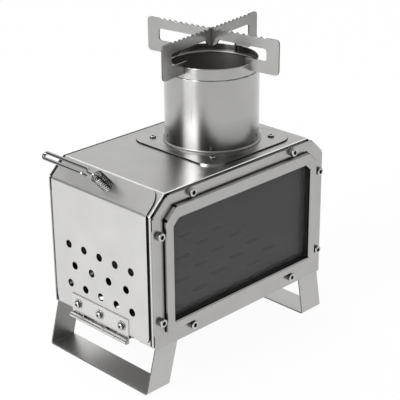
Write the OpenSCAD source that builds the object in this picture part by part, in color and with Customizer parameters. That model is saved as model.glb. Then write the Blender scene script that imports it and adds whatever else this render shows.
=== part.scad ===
// Tent wood stove: a folded sheet-metal firebox with a bolted glass window, a bottom-hinged
// door with a turning wire handle, two folding strap legs, a flue collar on a screwed base
// plate, and a lift-off cross stand that sits in the slotted ring at the flue's mouth.
//
// The parts are laid out from the body's lower front corner on the window side: X runs from
// the door to the rear, Y from the window to the far side, Z up. in_frame() then moves them
// to the part's own origin: on the ground, under the middle of the bounding box.

/* [Body] */
// Length of the body, door to rear
body_l = 200; // [180:1:240]
// Width of the body over its two side plates
body_w = 125; // [115:1:150]
// Height of the body without its legs
body_h = 129.5; // [120:0.5:160]
// Chamfer along the top front and rear edges, measured along the length
chamfer_x = 16; // [12:0.5:20]
// Chamfer along the top front and rear edges, measured in height
chamfer_z = 15; // [12:0.5:18]
// Thickness of the body sheet
sheet = 1; // [0.8:0.1:1.2]
// Width of the body's inward side flanges
flange_w = 9; // [8:0.5:9.5]
// Width of the lips along the body's bottom edge
lip_w = 12; // [11:0.5:14]
// Height of the firebox floor above the body's bottom edge
floor_z = 10; // [9.5:0.5:11]
// Diameter of the air holes in the floor behind the door
floor_hole_d = 8; // [4:0.5:10]

/* [Side plates] */
// Thickness of the window frame and of the far side plate
plate_t = 1.2; // [1:0.1:1.4]
// Room between a side plate and the body flange, where the legs fold
side_gap = 1.8; // [1.8:0.1:2.4]
// Radius of the relief cuts at the corners of folded sheets
relief_r = 1.1; // [0.8:0.1:1.4]

/* [Window] */
// How far the bezel stands out from the window frame
bezel_proud = 3; // [2:0.5:4]
// Bezel margin from the body's ends
bezel_side = 11; // [10.5:0.5:12]
// Bezel margin from the body's bottom
bezel_bottom = 13; // [13:0.5:14]
// Bezel margin from the body's top
bezel_top = 10; // [10:0.5:11]
// Width of the bezel's face at the ends
bezel_face = 8; // [7:0.5:10]
// Height of the window opening above the body's bottom edge
opening_bottom = 20.5; // [20:0.5:24]
// Distance of the window opening below the body's top
opening_top = 21; // [19.5:0.5:25]
// Thickness of the glass
glass_t = 3; // [3:0.5:4]
// Thickness of the gasket behind the glass
gasket_t = 0.8; // [0.6:0.1:1]
// Diameter of the window bolts
bolt_d = 4; // [3.5:0.1:4]
// Diameter of the window bolt heads
bolt_head_d = 7; // [6.5:0.1:7.2]

/* [Door] */
// Margin of the door from the body's sides
door_margin = 4.5; // [4:0.5:6]
// Height of the door's bottom edge
door_bottom = 2.5; // [2.5:0.5:4]
// Thickness of the door sheet
door_t = 1; // [0.8:0.1:1.2]
// Gap between the closed door and the body
door_gap = 0.3; // [0.2:0.1:0.4]
// Diameter of the vent holes
vent_d = 7; // [5:0.5:8]

/* [Hinge] */
// Length of the hinge along its pin
hinge_l = 70; // [60:1:90]
// Height of the hinge leaf on the door
hinge_leaf_h = 17; // [15:0.5:19]
// Outer radius of the hinge knuckles
knuckle_r = 2.4; // [2.2:0.1:2.6]
// Diameter of the hinge pin
hinge_pin_d = 2.4; // [2:0.1:2.4]
// Thickness of the hinge leaves
leaf_t = 1; // [0.8:0.1:1]

/* [Handle] */
// Diameter of the handle wire
wire_d = 2.8; // [2.4:0.1:3]
// Height of the wire loop over the body's chamfer
handle_off = 19.8; // [18:0.2:24]
// Reach of the wire loop from its stem
handle_reach = 63; // [50:1:70]
// Spacing of the two strands of the loop
strand_gap = 5.2; // [4.6:0.1:6]
// Place of the stem, measured up the chamfer
stem_up = 10.2; // [9.5:0.1:10.6]
// Distance of the stem from the middle of the door, towards the window
stem_side = 4.5; // [0:0.5:10]
// Turns of the spring
spring_turns = 8; // [5:1:9]
// Diameter of the spring wire
spring_wire = 1; // [0.8:0.1:1.2]
// Length of the latch tongue from the stem
tongue_l = 11; // [10:0.5:11]

/* [Legs] */
// Height of the body above the ground
leg_h = 38; // [32:1:45]
// Width of the leg strap
leg_w = 24.5; // [20:0.5:26]
// Thickness of the leg strap
leg_t = 1.2; // [1:0.1:1.2]
// How far the front feet lean out
front_lean = 11; // [6:1:14]
// How far the rear feet lean out
rear_lean = 7; // [4:1:14]

/* [Flue] */
// Distance of the flue axis from the rear
flue_back = 72; // [68:1:82]
// Outer diameter of the flue collar
flue_d = 80; // [74:1:82]
// Height of the flue collar over the body
flue_h = 63; // [50:1:80]
// Wall of the flue collar, liner and ring
flue_wall = 0.8; // [0.6:0.1:0.9]
// Side of the square base plate
base_w = 102; // [100:1:104]
// Corner radius of the base plate
base_r = 18; // [12:1:24]
// Screws' distance from the flue axis, along X and along Y
base_screw = 35.5; // [35:0.5:38]
// How far the slotted ring stands out of the collar
ring_h = 9.5; // [8:0.5:12]

/* [Cross stand] */
// Length of each plate of the cross
cross_l = 134; // [120:1:150]
// Height of the cross plates
cross_h = 29.5; // [28:0.5:34]
// Thickness of the cross plates
cross_t = 1.5; // [1.2:0.1:2]
// Angle of the first cross plate from the body's length
cross_angle = 9; // [0:1:20]
// Depth of the bar along the top of each plate
cross_bar = 9; // [8:0.5:10]
// Depth of the bars that sit in the ring
cross_foot = 10; // [9:0.5:11]
// Pitch of the notches along the top
notch_pitch = 5.8; // [5:0.1:7]

/* [Grate] */
// Height of the grate's top above the body's bottom edge
grate_z = 21; // [20:0.5:22]
// Length of the slots in the grate
grate_slot_l = 20; // [14:1:22]
// Width of the slots in the grate
grate_slot_w = 5; // [4:0.5:6]

/* [Hidden] */

$fn = 48;
cut = 1;                                     // how far a cutting tool runs past a face
fit = 0.06;                                  // radial clearance of a pin in its hole
thread_play = 0.02;                          // radial clearance of a nut on its thread
bolt_play = 0.2;                             // radial clearance of a bolt in its hole
slip = 0.3;                                  // gap between pieces that slide or turn
nest = 0.1;                                  // gap between pieces that sit in one another

// Chamfer, and the outline's corners that carry relief cuts
chamfer_len = norm([chamfer_x, chamfer_z]);
chamfer_angle = atan2(chamfer_z, chamfer_x);
upper_corners = [2 : 5];

// Levels across the window side and the far side
flange_y = plate_t + side_gap;               // outer face of the body's window-side flange
far_flange_y = body_w - flange_y;            // outer face of its far-side flange
seat_y = flange_y + sheet;                   // front of the seat behind the flange
glass_y = 3;                                 // front of the glass
gasket_y = glass_y + glass_t;
ledge_y = gasket_y + gasket_t;
gasket_back = 0.5;                           // how far the gasket stays out of the opening
bolt_nut_h = 3.2;
bolt_nut_af = 7;
bolt_head_h = 3.9;
bolt_socket_af = 3;
bolt_socket_z = 2.2;
bolt_tip = 0.5;                              // how far a bolt stands out of its nut

// Window opening and what borders it
opening_side = bezel_side + bezel_face;
opening_diag = opening_side + 2.4;
glass_lap = 5;                               // how far the glass reaches behind the bezel
glass_side_play = 0.8;                       // room around the glass in its seat
bezel_lip = 2;                               // flange of the bezel behind the window frame
bezel_play = 0.6;                            // gap around the bezel in the window frame
lip_end = 4;                                 // how far folded lips stop short of corners
frame_lip_back = 0.8;                        // setback of the side plates' folded lips

// Window bolts, in X and Z
bolt_top_z = body_h - 4.6;
bolt_bottom_z = 8.6;
bolt_inset = 6.1;
bolt_end_x = 40.5;
bolt_low_z = 23.6;
bolt_high_drop = 31.5;                       // upper end bolts, below the body's top
bolt_high_z = body_h - bolt_high_drop;
window_bolt_spots = [[bolt_end_x, bolt_top_z], [body_l - bolt_end_x, bolt_top_z],
                     [bolt_end_x, bolt_bottom_z], [body_l - bolt_end_x, bolt_bottom_z],
                     [bolt_inset, bolt_low_z], [bolt_inset, bolt_high_z],
                     [body_l - bolt_inset, bolt_low_z], [body_l - bolt_inset, bolt_high_z]];

// Door
door_y0 = door_margin;
door_y1 = body_w - door_margin;
door_mid_y = (door_y0 + door_y1) / 2;
door_flap = chamfer_len - 1;                 // length of the flap over the chamfer
door_corner_r = 7;
flap_corner_r = 9;
door_hole_margin = 9.5;                      // doorway inside the door's edge
sill_h = 3;                                  // doorway's lower edge above the floor
doorway_z0 = floor_z + sheet + sill_h;
stem_room = 5.2;                             // doorway's upper edge above the stem
doorway_up = stem_up + stem_room;            // doorway's upper edge, up the chamfer
vent_rows = [[61.2, 5, 19], [43.3, 4, 21], [25.4, 5, 19]]; // height, holes, pitch

// Hinge
hinge_mid_y = door_mid_y + 2.5;
hinge_y0 = hinge_mid_y - hinge_l / 2;
knuckles = 5;
knuckle_l = hinge_l / knuckles;
door_face_x = -door_gap - door_t;            // the door's outer face
hinge_x = door_face_x - knuckle_r;           // hinge axis
hinge_z = -knuckle_r;
hinge_screw_pitch = 27;
hinge_screw_z = 9;
hinge_screw_d = 3;
hinge_head_d = 6.4;
hinge_head_h = 2;
hinge_washer_d = 9;
hinge_washer_t = 0.5;
hinge_nut_af = 5.5;
hinge_nut_t = 1.6;
hinge_nut_room = 2;                          // clearance round the nuts in the front wall
hinge_rivet_d = 3;
hinge_rivet_x = 6.5;
hinge_rivet_head_r = 2.7;
hinge_rivet_head_t = 0.8;
hinge_leaf_back = lip_w - 1;                 // how far the body leaf runs under the lip
pin_head_grow = 0.5;
pin_head_t = 0.8;
notch_from_hinge = 2.5;                      // notch in the body's lower front fold
notch_l = 7.5;
notch_back = 5;
notch_h = sheet + 1.5;

// Handle, in the chamfer's own axes: x up the slope, y along the body's width, z outwards
stem_y = door_mid_y - stem_side;
wire_r = wire_d / 2;
bend_r = 3.2;
crank_r = 4;
crank_angle = acos(1 - strand_gap / 2 / (2 * crank_r));
loop_r = strand_gap / 2;
crank_run = 2 * crank_r * sin(crank_angle);
first_run = 3;
return_gap = 12;                             // where the return strand ends, from the stem
tip_l = 2.5;
joint_grow = 0.04;
tongue_t = 1.5;
tongue_w = 8;
tongue_top = -sheet - 0.5;                   // top of the tongue, under the body's sheet
collar_r = 3;
latch_nut_af = 5.5;
latch_nut_t = 2.4;
spring_r = 4.9;
spring_z0 = door_gap + door_t + nest;
spring_z1 = handle_off - wire_r - nest;

// Legs
leg_inset = 1.5;                             // legs' distance from the body's ends
leg_play = 0.3;                              // side play of a leg under its side plate
leg_y = plate_t + leg_play;
leg_top_z = 2;
leg_ear_r = 3.6;
leg_bend_r = 2.5;
leg_pivot_z = leg_ear_r;
front_pivot_x = leg_inset + leg_w - leg_ear_r;
rear_pivot_x = body_l - front_pivot_x;
rivet_d = 3;
rivet_head_d = 6;
rivet_head_t = 1.2;
stop_gap = 0.4;                              // gap between a leg and its stop tab
stop_tab = [9, 1];                           // length and height of a stop tab

// Flue
flue_x = body_l - flue_back;
flue_y = body_w / 2;
base_t = 1.2;
base_top = body_h + base_t;
collar_top = body_h + flue_h;
flue_r = flue_d / 2;
foot_r = flue_r + 1.8;                       // flared foot of the collar
foot_t = 0.8;
ring_r = flue_r - flue_wall - nest;
ring_seat = 14;                              // depth of the ring inside the collar
ring_top = collar_top + ring_h;
liner_r = ring_r - flue_wall - nest;
bead_r = 1.1;
liner_top = collar_top + 2.5;
flue_hole_r = liner_r - flue_wall;
base_screw_d = 3;
base_head_d = 5.6;
base_head_h = 1.6;
base_nut_af = 5.5;
base_nut_t = 2.2;

// Cross stand
ring_slot_h = 5.5;                           // depth of the ring's slots
foot_z = ring_top - ring_slot_h;             // underside of the cross, on the ring's slots
cross_top = foot_z + cross_h;
cross_end = 12;                              // width of the upright at each end
cross_r = 3.5;
cross_inner_r = 2.5;
foot_reach = 5.5;                            // how far the lower bars reach into the ring
foot_tip = flue_r - foot_reach;              // inner end of the lower bars
bulge_z = 15;                                // depth of the plates where they cross
bulge_w = 16;
bulge_root = 1;                              // how far the bulge runs up into the bar
notch_r = 2.6;
notch_depth = 1.3;
lap_play = 0.15;

// Grate and floor
grate_t = 1;
grate_x0 = 42;
grate_play = 1;
grate_y0 = ledge_y + sheet + grate_play;
grate_y1 = body_w - flange_y - 2;
slot_pitch = 21;
slot_rows = 4;
slot_row_pitch = 33;
slot_mid_y = body_w / 2 + 3;
slot_first_x = 74;
slot_margin = 6;
floor_hole_x = 16.5;
floor_hole_pitch = 23.5;
floor_hole_mid_y = body_w / 2 - 2.5;
floor_holes = 3;

// Place of the part's origin
handle_front = (stem_up - loop_r) * cos(chamfer_angle) - handle_off * sin(chamfer_angle) - wire_r;
cross_reach = cross_l / 2 * cos(cross_angle - 1) + cross_t / 2 * sin(cross_angle - 1);
x_min = min(leg_inset - front_lean, hinge_x - knuckle_r, handle_front);
x_max = body_l - leg_inset + rear_lean;
y_min = min(-bezel_proud, -bolt_head_h, flue_y - cross_reach);
y_max = max(body_w, flue_y + cross_reach);

// Colours
steel = [0.74, 0.73, 0.71];
bright_steel = [0.84, 0.84, 0.83];
dark_steel = [0.45, 0.44, 0.43];
glass_tint = [0.2, 0.2, 0.21, 0.6];
gasket_black = [0.12, 0.12, 0.12];

// ---------- shared shapes ----------

module in_frame() {
    translate([-(x_min + x_max) / 2, -(y_min + y_max) / 2, leg_h]) children();
}

// The body's side outline, moved in by a margin at its ends, bottom, top and chamfers
function outline(side, bottom, top, diag) = let (
    z = body_h - chamfer_z + (chamfer_z * side - chamfer_len * diag) / chamfer_x,
    x = chamfer_x + (chamfer_len * diag - chamfer_x * top) / chamfer_z
) [[side, bottom], [body_l - side, bottom], [body_l - side, z],
   [body_l - x, body_h - top], [x, body_h - top], [side, z]];

function body_outline(inset) = outline(inset, inset, inset, inset);
function bezel_outline(grow) = outline(bezel_side - grow, bezel_bottom - grow,
                                       bezel_top - grow, bezel_side - grow);
function opening_outline(grow) = outline(opening_side - grow, opening_bottom - grow,
                                         opening_top - grow, opening_diag - grow);

// A shape drawn in X and Z, filled from y0 to y1
module slab(y0, y1) {
    translate([0, y1, 0]) rotate([90, 0, 0]) linear_extrude(y1 - y0) children();
}

// A round bar along Y at x and z, from y0 to y1
module bar_y(x, z, r, y0, y1) {
    translate([x, y0, z]) rotate([-90, 0, 0]) cylinder(h = y1 - y0, r = r);
}

// A round bar along X at y and z, from x0 to x1
module bar_x(y, z, r, x0, x1) {
    translate([x0, y, z]) rotate([0, 90, 0]) cylinder(h = x1 - x0, r = r);
}

// Straight strips along the chosen edges of an outline, on its inner side
module edge_strips(points, edges, thick, short) {
    for (i = edges) {
        a = points[i];
        b = points[(i + 1) % len(points)];
        run = norm(b - a);
        translate(a) rotate(atan2(b[1] - a[1], b[0] - a[0]))
            translate([short, 0]) square([run - 2 * short, thick]);
    }
}

// Relief cuts at the corners of an outline
module corner_reliefs(points, corners) {
    for (i = corners) translate(points[i]) circle(r = relief_r, $fn = 24);
}

module rounded_square(w, h, r) {
    translate([r, 0]) square([w - 2 * r, h]);
    translate([0, r]) square([w, h - 2 * r]);
    for (x = [r, w - r], y = [r, h - r]) translate([x, y]) circle(r = r, $fn = 32);
}

module hex_nut(af, h, bore_r) {
    difference() {
        cylinder(h = h, d = af / cos(30), $fn = 6);
        translate([0, 0, -cut]) cylinder(h = h + 2 * cut, r = bore_r);
    }
}

// The body's chamfer at the stem: x up the slope, z outwards
module on_chamfer() {
    translate([0, stem_y, body_h - chamfer_z]) rotate([0, -chamfer_angle, 0])
        translate([stem_up, 0, 0]) children();
}

// ---------- firebox ----------

module doorway() {
    y0 = door_y0 + door_hole_margin;
    w = door_y1 - door_hole_margin - y0;
    crease_z = body_h - chamfer_z;
    translate([-cut, y0, doorway_z0]) cube([sheet + 2 * cut, w, crease_z - doorway_z0]);
    translate([0, y0, crease_z]) rotate([0, -chamfer_angle, 0])
        translate([-2 * sheet, 0, -2 * sheet]) cube([doorway_up + 2 * sheet, w, 4 * sheet]);
}

module body_shell() color(steel) in_frame() {
    difference() {
        slab(flange_y, far_flange_y) polygon(body_outline(0));
        slab(flange_y + sheet, far_flange_y - sheet) polygon(body_outline(sheet));
        slab(flange_y - cut, far_flange_y + cut) polygon(body_outline(flange_w));
        translate([lip_w, flange_y + sheet, -cut])
            cube([body_l - 2 * lip_w, far_flange_y - flange_y - 2 * sheet, sheet + 2 * cut]);
        doorway();
        translate([flue_x, flue_y, body_h - sheet - cut])
            cylinder(h = sheet + 2 * cut, r = flue_hole_r, $fn = 96);
        base_screw_spots() translate([0, 0, body_h - sheet - cut])
            cylinder(h = sheet + 2 * cut, r = base_screw_d / 2 + bolt_play);
        for (s = window_bolt_spots)
            bar_y(s[0], s[1], bolt_d / 2 + bolt_play, flange_y - cut, seat_y + cut);
        for (x = [front_pivot_x, rear_pivot_x]) {
            bar_y(x, leg_pivot_z, rivet_d / 2 + fit, flange_y - cut, flange_y + sheet + cut);
            bar_y(x, leg_pivot_z, rivet_d / 2 + fit, far_flange_y - sheet - cut,
                  far_flange_y + cut);
        }
        hinge_screw_spots()
            bar_x(0, hinge_screw_z, hinge_nut_af / 2 + hinge_nut_room, -cut, sheet + cut);
        hinge_screw_spots() translate([hinge_rivet_x, 0, -cut])
            cylinder(h = sheet + 2 * cut, r = hinge_rivet_d / 2 + fit);
        translate([-cut, hinge_y0 - notch_from_hinge - notch_l, -cut])
            cube([notch_back + cut, notch_l, notch_h + cut]);
    }
}

module floor_plate() color(dark_steel) in_frame() {
    x0 = hinge_nut_t - door_gap + slip;
    difference() {
        translate([x0, grate_y0, floor_z])
            cube([body_l - sheet - x0, far_flange_y - sheet - grate_y0, sheet]);
        for (i = [0 : floor_holes - 1])
            translate([floor_hole_x,
                       floor_hole_mid_y + (i - (floor_holes - 1) / 2) * floor_hole_pitch,
                       floor_z - cut])
                cylinder(h = sheet + 2 * cut, d = floor_hole_d);
    }
}

// A slot along X with round ends
module grate_slot() {
    half = (grate_slot_l - grate_slot_w) / 2;
    translate([-half, -grate_slot_w / 2, 0]) cube([2 * half, grate_slot_w, grate_t + 2 * cut]);
    for (x = [-half, half]) translate([x, 0, 0])
        cylinder(h = grate_t + 2 * cut, d = grate_slot_w, $fn = 32);
}

module fire_grate() color(dark_steel) in_frame() {
    x1 = body_l - sheet - grate_play;
    foot = floor_z + sheet;
    difference() {
        union() {
            translate([grate_x0, grate_y0, grate_z - grate_t])
                cube([x1 - grate_x0, grate_y1 - grate_y0, grate_t]);
            for (y = [grate_y0, grate_y1 - grate_t])
                translate([grate_x0, y, foot]) cube([x1 - grate_x0, grate_t, grate_z - foot]);
        }
        for (row = [0 : slot_rows - 1], i = [-2 : 2]) {
            x = slot_first_x + row * slot_row_pitch;
            y = slot_mid_y + (i + (row % 2 == 0 ? 0 : -0.5)) * slot_pitch;
            edge = slot_margin + grate_slot_w / 2;
            if (y > grate_y0 + edge && y < grate_y1 - edge && x < x1 - grate_slot_l)
                translate([x, y, grate_z - grate_t - cut]) grate_slot();
        }
    }
}

// ---------- window side ----------

module window_seat() color(dark_steel) in_frame() {
    pocket = glass_lap + glass_side_play;
    difference() {
        union() {
            slab(seat_y, seat_y + sheet) polygon(body_outline(sheet + nest));
            slab(seat_y, ledge_y + sheet) polygon(opening_outline(pocket + sheet));
        }
        slab(seat_y - cut, ledge_y) polygon(opening_outline(pocket));
        slab(seat_y - cut, ledge_y + sheet + cut) polygon(opening_outline(0));
        for (s = window_bolt_spots)
            bar_y(s[0], s[1], bolt_d / 2 + bolt_play, seat_y - cut, seat_y + sheet + cut);
        for (x = [front_pivot_x, rear_pivot_x])
            bar_y(x, leg_pivot_z, rivet_d / 2 + fit, seat_y - cut, seat_y + sheet + cut);
    }
}

module window_gasket() color(gasket_black) in_frame() {
    slab(gasket_y, ledge_y) difference() {
        polygon(opening_outline(glass_lap));
        polygon(opening_outline(gasket_back));
    }
}

module window_glass() color(glass_tint) in_frame() {
    slab(glass_y, gasket_y) polygon(opening_outline(glass_lap));
}

module window_bezel() color(steel) in_frame() {
    outer = bezel_outline(0);
    difference() {
        union() {
            slab(-bezel_proud, sheet - bezel_proud) difference() {
                polygon(outer);
                corner_reliefs(outer, upper_corners);
            }
            slab(-bezel_proud, plate_t + sheet) edge_strips(outer, [0 : 5], sheet, 2);
            slab(plate_t, plate_t + sheet)
                edge_strips(bezel_outline(bezel_lip), [0 : 5], bezel_lip + sheet, 5);
            slab(-bezel_proud, glass_y) polygon(opening_outline(sheet));
        }
        slab(-bezel_proud - cut, glass_y + cut) polygon(opening_outline(0));
    }
}

// The folded edge of a side plate: lips, leg stops and relief cuts
module side_lips() {
    points = body_outline(frame_lip_back);
    edge_strips(points, [2, 3, 4], sheet, lip_end);
    for (x = [frame_lip_back, body_l - frame_lip_back - sheet])
        translate([x, bolt_low_z / 2]) square([sheet, body_h - chamfer_z - bolt_low_z]);
    for (x = [leg_inset + 2, body_l - leg_inset - 2 - stop_tab[0]])
        translate([x, leg_top_z + stop_gap]) square(stop_tab);
}

module window_frame() color(steel) in_frame() {
    points = body_outline(0);
    difference() {
        slab(0, plate_t) difference() {
            polygon(points);
            polygon(bezel_outline(bezel_play));
            corner_reliefs(points, upper_corners);
        }
        for (s = window_bolt_spots)
            bar_y(s[0], s[1], bolt_d / 2 + bolt_play, -cut, plate_t + cut);
    }
    slab(plate_t, flange_y) side_lips();
}

module window_bolts() color(bright_steel) in_frame() {
    for (s = window_bolt_spots) difference() {
        union() {
            bar_y(s[0], s[1], bolt_head_d / 2, -bolt_head_h, 0);
            bar_y(s[0], s[1], bolt_d / 2, -bolt_head_h / 4, seat_y + sheet + bolt_nut_h + bolt_tip);
        }
        translate([s[0], -bolt_head_h - cut, s[1]]) rotate([-90, 0, 0])
            cylinder(h = bolt_socket_z + cut, d = bolt_socket_af / cos(30), $fn = 6);
    }
}

module window_nuts() color(dark_steel) in_frame() {
    for (s = window_bolt_spots)
        translate([s[0], seat_y + sheet, s[1]]) rotate([-90, 0, 0])
            hex_nut(bolt_nut_af, bolt_nut_h, bolt_d / 2 + thread_play);
}

module far_side_plate() color(steel) in_frame() {
    points = body_outline(0);
    slab(body_w - plate_t, body_w) difference() {
        polygon(points);
        corner_reliefs(points, upper_corners);
    }
    slab(far_flange_y, body_w - plate_t) side_lips();
}

// ---------- door ----------

// Line of the front sheet, moved out by a distance: bottom, crease and end of the flap
function door_line(out, z0) = let (
    crease_z = body_h - chamfer_z + out * (chamfer_len - chamfer_z) / chamfer_x,
    up = [cos(chamfer_angle), sin(chamfer_angle)],
    away = [-sin(chamfer_angle), cos(chamfer_angle)]
) [[-out, z0], [-out, crease_z],
   [0, body_h - chamfer_z] + up * door_flap + away * out];

module door_panel() color(bright_steel) in_frame() {
    inner = door_line(door_gap, door_bottom);
    outer = door_line(door_gap + door_t, door_bottom);
    top_z = outer[2][1];
    difference() {
        intersection() {
            slab(door_y0, door_y1)
                polygon([outer[0], outer[1], outer[2], inner[2], inner[1], inner[0]]);
            translate([-chamfer_x, 0, 0]) rotate([90, 0, 90]) linear_extrude(3 * chamfer_x)
                translate([door_y0, door_bottom]) door_front();
        }
        for (row = vent_rows, i = [0 : row[1] - 1])
            bar_x(door_mid_y + 1 + (i - (row[1] - 1) / 2) * row[2], row[0], vent_d / 2,
                  door_face_x - cut, cut);
        hinge_screw_spots() bar_x(0, hinge_screw_z, hinge_screw_d / 2 + bolt_play,
                                  door_face_x - cut, cut);
        on_chamfer() cylinder(h = 4 * door_t, r = wire_r + fit);
    }
}

// The door seen from the front: round corners of one radius below and another above
module door_front() {
    w = door_y1 - door_y0;
    h = door_line(door_gap + door_t, door_bottom)[2][1] - door_bottom;
    r0 = door_corner_r;
    r1 = flap_corner_r;
    translate([0, r0]) square([w, h - r0 - r1]);
    translate([r0, 0]) square([w - 2 * r0, r0]);
    translate([r1, h - r1]) square([w - 2 * r1, r1]);
    for (y = [r0, w - r0]) translate([y, r0]) circle(r = r0);
    for (y = [r1, w - r1]) translate([y, h - r1]) circle(r = r1);
}

module hinge_screw_spots() {
    for (i = [-1 : 1]) translate([0, hinge_mid_y + i * hinge_screw_pitch, 0]) children();
}

// Knuckles of one leaf: every second one, from the first given
module knuckle_row(first) {
    for (i = [first : 2 : knuckles - 1]) {
        y0 = hinge_y0 + i * knuckle_l + slip / 2;
        y1 = y0 + knuckle_l - slip;
        bar_y(hinge_x, hinge_z, knuckle_r, y0, y1);
    }
}

module knuckle_bore() {
    bar_y(hinge_x, hinge_z, hinge_pin_d / 2 + fit, hinge_y0 - cut, hinge_y0 + hinge_l + cut);
}

module hinge_door_leaf() color(steel) in_frame() {
    x0 = door_face_x - leaf_t;
    difference() {
        union() {
            knuckle_row(0);
            for (i = [0 : 2 : knuckles - 1])
                translate([x0, hinge_y0 + i * knuckle_l + slip / 2, hinge_z])
                    cube([leaf_t, knuckle_l - slip, 2 * knuckle_r]);
            translate([x0, hinge_y0 + slip / 2, knuckle_r * 0.6])
                cube([leaf_t, hinge_l - slip, hinge_leaf_h - knuckle_r * 0.6]);
        }
        knuckle_bore();
        hinge_screw_spots() bar_x(0, hinge_screw_z, hinge_screw_d / 2 + bolt_play,
                                  x0 - cut, door_face_x + cut);
    }
}

module hinge_body_leaf() color(steel) in_frame() {
    edge = door_face_x + slip;
    difference() {
        union() {
            knuckle_row(1);
            for (i = [1 : 2 : knuckles - 1])
                translate([hinge_x, hinge_y0 + i * knuckle_l + slip / 2, -leaf_t])
                    cube([edge + cut - hinge_x, knuckle_l - slip, leaf_t]);
            translate([edge, hinge_y0, -leaf_t])
                cube([hinge_leaf_back - edge, hinge_l, leaf_t]);
        }
        knuckle_bore();
        hinge_screw_spots() translate([hinge_rivet_x, 0, -leaf_t - cut])
            cylinder(h = leaf_t + 2 * cut, r = hinge_rivet_d / 2 + fit);
    }
}

module hinge_pin() color(bright_steel) in_frame() {
    y0 = hinge_y0;
    y1 = hinge_y0 + hinge_l;
    head_r = hinge_pin_d / 2 + pin_head_grow;
    bar_y(hinge_x, hinge_z, hinge_pin_d / 2, y0 - pin_head_t / 2, y1 + pin_head_t / 2);
    bar_y(hinge_x, hinge_z, head_r, y0 - pin_head_t, y0);
    bar_y(hinge_x, hinge_z, head_r, y1, y1 + pin_head_t);
}

module hinge_screws() color(bright_steel) in_frame() {
    face = door_face_x - leaf_t;
    hinge_screw_spots() {
        bar_x(0, hinge_screw_z, hinge_washer_d / 2, face - hinge_washer_t, face);
        bar_x(0, hinge_screw_z, hinge_head_d / 2, face - hinge_washer_t - hinge_head_h,
              face - hinge_washer_t / 2);
        bar_x(0, hinge_screw_z, hinge_screw_d / 2, face - cut, -door_gap + hinge_nut_t);
    }
}

module hinge_nuts() color(dark_steel) in_frame() {
    hinge_screw_spots() translate([-door_gap, 0, hinge_screw_z]) rotate([0, 90, 0])
        hex_nut(hinge_nut_af, hinge_nut_t, hinge_screw_d / 2 + thread_play);
}

module hinge_rivets() color(steel) in_frame() {
    head = hinge_rivet_head_t;
    hinge_screw_spots() translate([hinge_rivet_x, 0, 0]) {
        translate([0, 0, -leaf_t - head / 2])
            cylinder(h = leaf_t + sheet + head, d = hinge_rivet_d);
        for (z = [-leaf_t - head, sheet]) translate([0, 0, z])
            cylinder(h = head, r = hinge_rivet_head_r);
    }
}

// ---------- handle ----------

// A straight run of wire along Z, with what follows it; a ball a trace wider than the wire
// closes the joint with the next bend
module run(length) {
    cylinder(h = length, r = wire_r);
    translate([0, 0, length]) {
        if ($children > 0) sphere(r = wire_r + joint_grow);
        children();
    }
}

// A bend of the wire towards the direction at angle "roll", with what follows it
module bend(radius, angle, roll) {
    rotate([0, 0, roll]) {
        translate([radius, 0, 0]) rotate([90, 0, 180])
            rotate_extrude(angle = angle) translate([radius, 0]) circle(r = wire_r, $fn = 32);
        translate([radius, 0, 0]) rotate([0, angle, 0]) translate([-radius, 0, 0]) {
            sphere(r = wire_r + joint_grow);
            rotate([0, 0, -roll]) children();
        }
    }
}

module handle() color(bright_steel) in_frame() on_chamfer() {
    out_run = handle_reach - bend_r - first_run - crank_run - loop_r;
    back_run = handle_reach - loop_r - return_gap - bend_r;
    translate([0, 0, tongue_top]) cylinder(h = door_gap - nest - tongue_top, r = collar_r);
    translate([0, 0, tongue_top - tongue_t - latch_nut_t])
        run(handle_off - bend_r - tongue_top + tongue_t + latch_nut_t)
        bend(bend_r, 90, 90) run(first_run)
        bend(crank_r, crank_angle, 0) bend(crank_r, crank_angle, 180) run(out_run)
        bend(loop_r, 180, 180) run(back_run)
        bend(bend_r, 60, 90) run(tip_l);
}

module latch_tongue() color(dark_steel) in_frame() on_chamfer() {
    difference() {
        translate([-tongue_w / 2, -tongue_l, tongue_top - tongue_t])
            cube([tongue_w, tongue_l + tongue_w / 2, tongue_t]);
        translate([0, 0, tongue_top - tongue_t - cut])
            cylinder(h = tongue_t + 2 * cut, r = wire_r + thread_play);
    }
}

module latch_nut() color(dark_steel) in_frame() on_chamfer() {
    translate([0, 0, tongue_top - tongue_t - latch_nut_t])
        hex_nut(latch_nut_af, latch_nut_t, wire_r + thread_play);
}

// Helix of the spring: rings of points around its centre line
module handle_spring() color(steel) in_frame() on_chamfer() {
    sides = 8;
    per_turn = 16;
    rings = spring_turns * per_turn;
    r = spring_wire / 2;
    rise = spring_z1 - spring_z0 - spring_wire;
    points = [for (i = [0 : rings], j = [0 : sides - 1]) let (
        turn = 360 * i / per_turn,
        side = 360 * j / sides,
        reach = spring_r + r * cos(side)
    ) [reach * cos(turn), reach * sin(turn),
       spring_z0 + r + rise * i / rings + r * sin(side)]];
    walls = [for (i = [0 : rings - 1], j = [0 : sides - 1]) let (
        k = (j + 1) % sides
    ) [i * sides + j, (i + 1) * sides + j, (i + 1) * sides + k, i * sides + k]];
    ends = [[for (j = [0 : sides - 1]) j], [for (j = [sides - 1 : -1 : 0]) rings * sides + j]];
    polyhedron(points = points, faces = concat(walls, ends));
}

// ---------- legs ----------

// The strap's path seen along X: two uprights and a foot with round bends
module strap_path() {
    w = body_w - 2 * leg_y;
    h = leg_h + leg_pivot_z + leg_ear_r;
    difference() {
        rounded_square(w, 2 * h, leg_bend_r);
        translate([leg_t, leg_t]) rounded_square(w - 2 * leg_t, 2 * h, leg_bend_r - leg_t);
        translate([-cut, h]) square([w + 2 * cut, h + cut]);
    }
}

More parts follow.
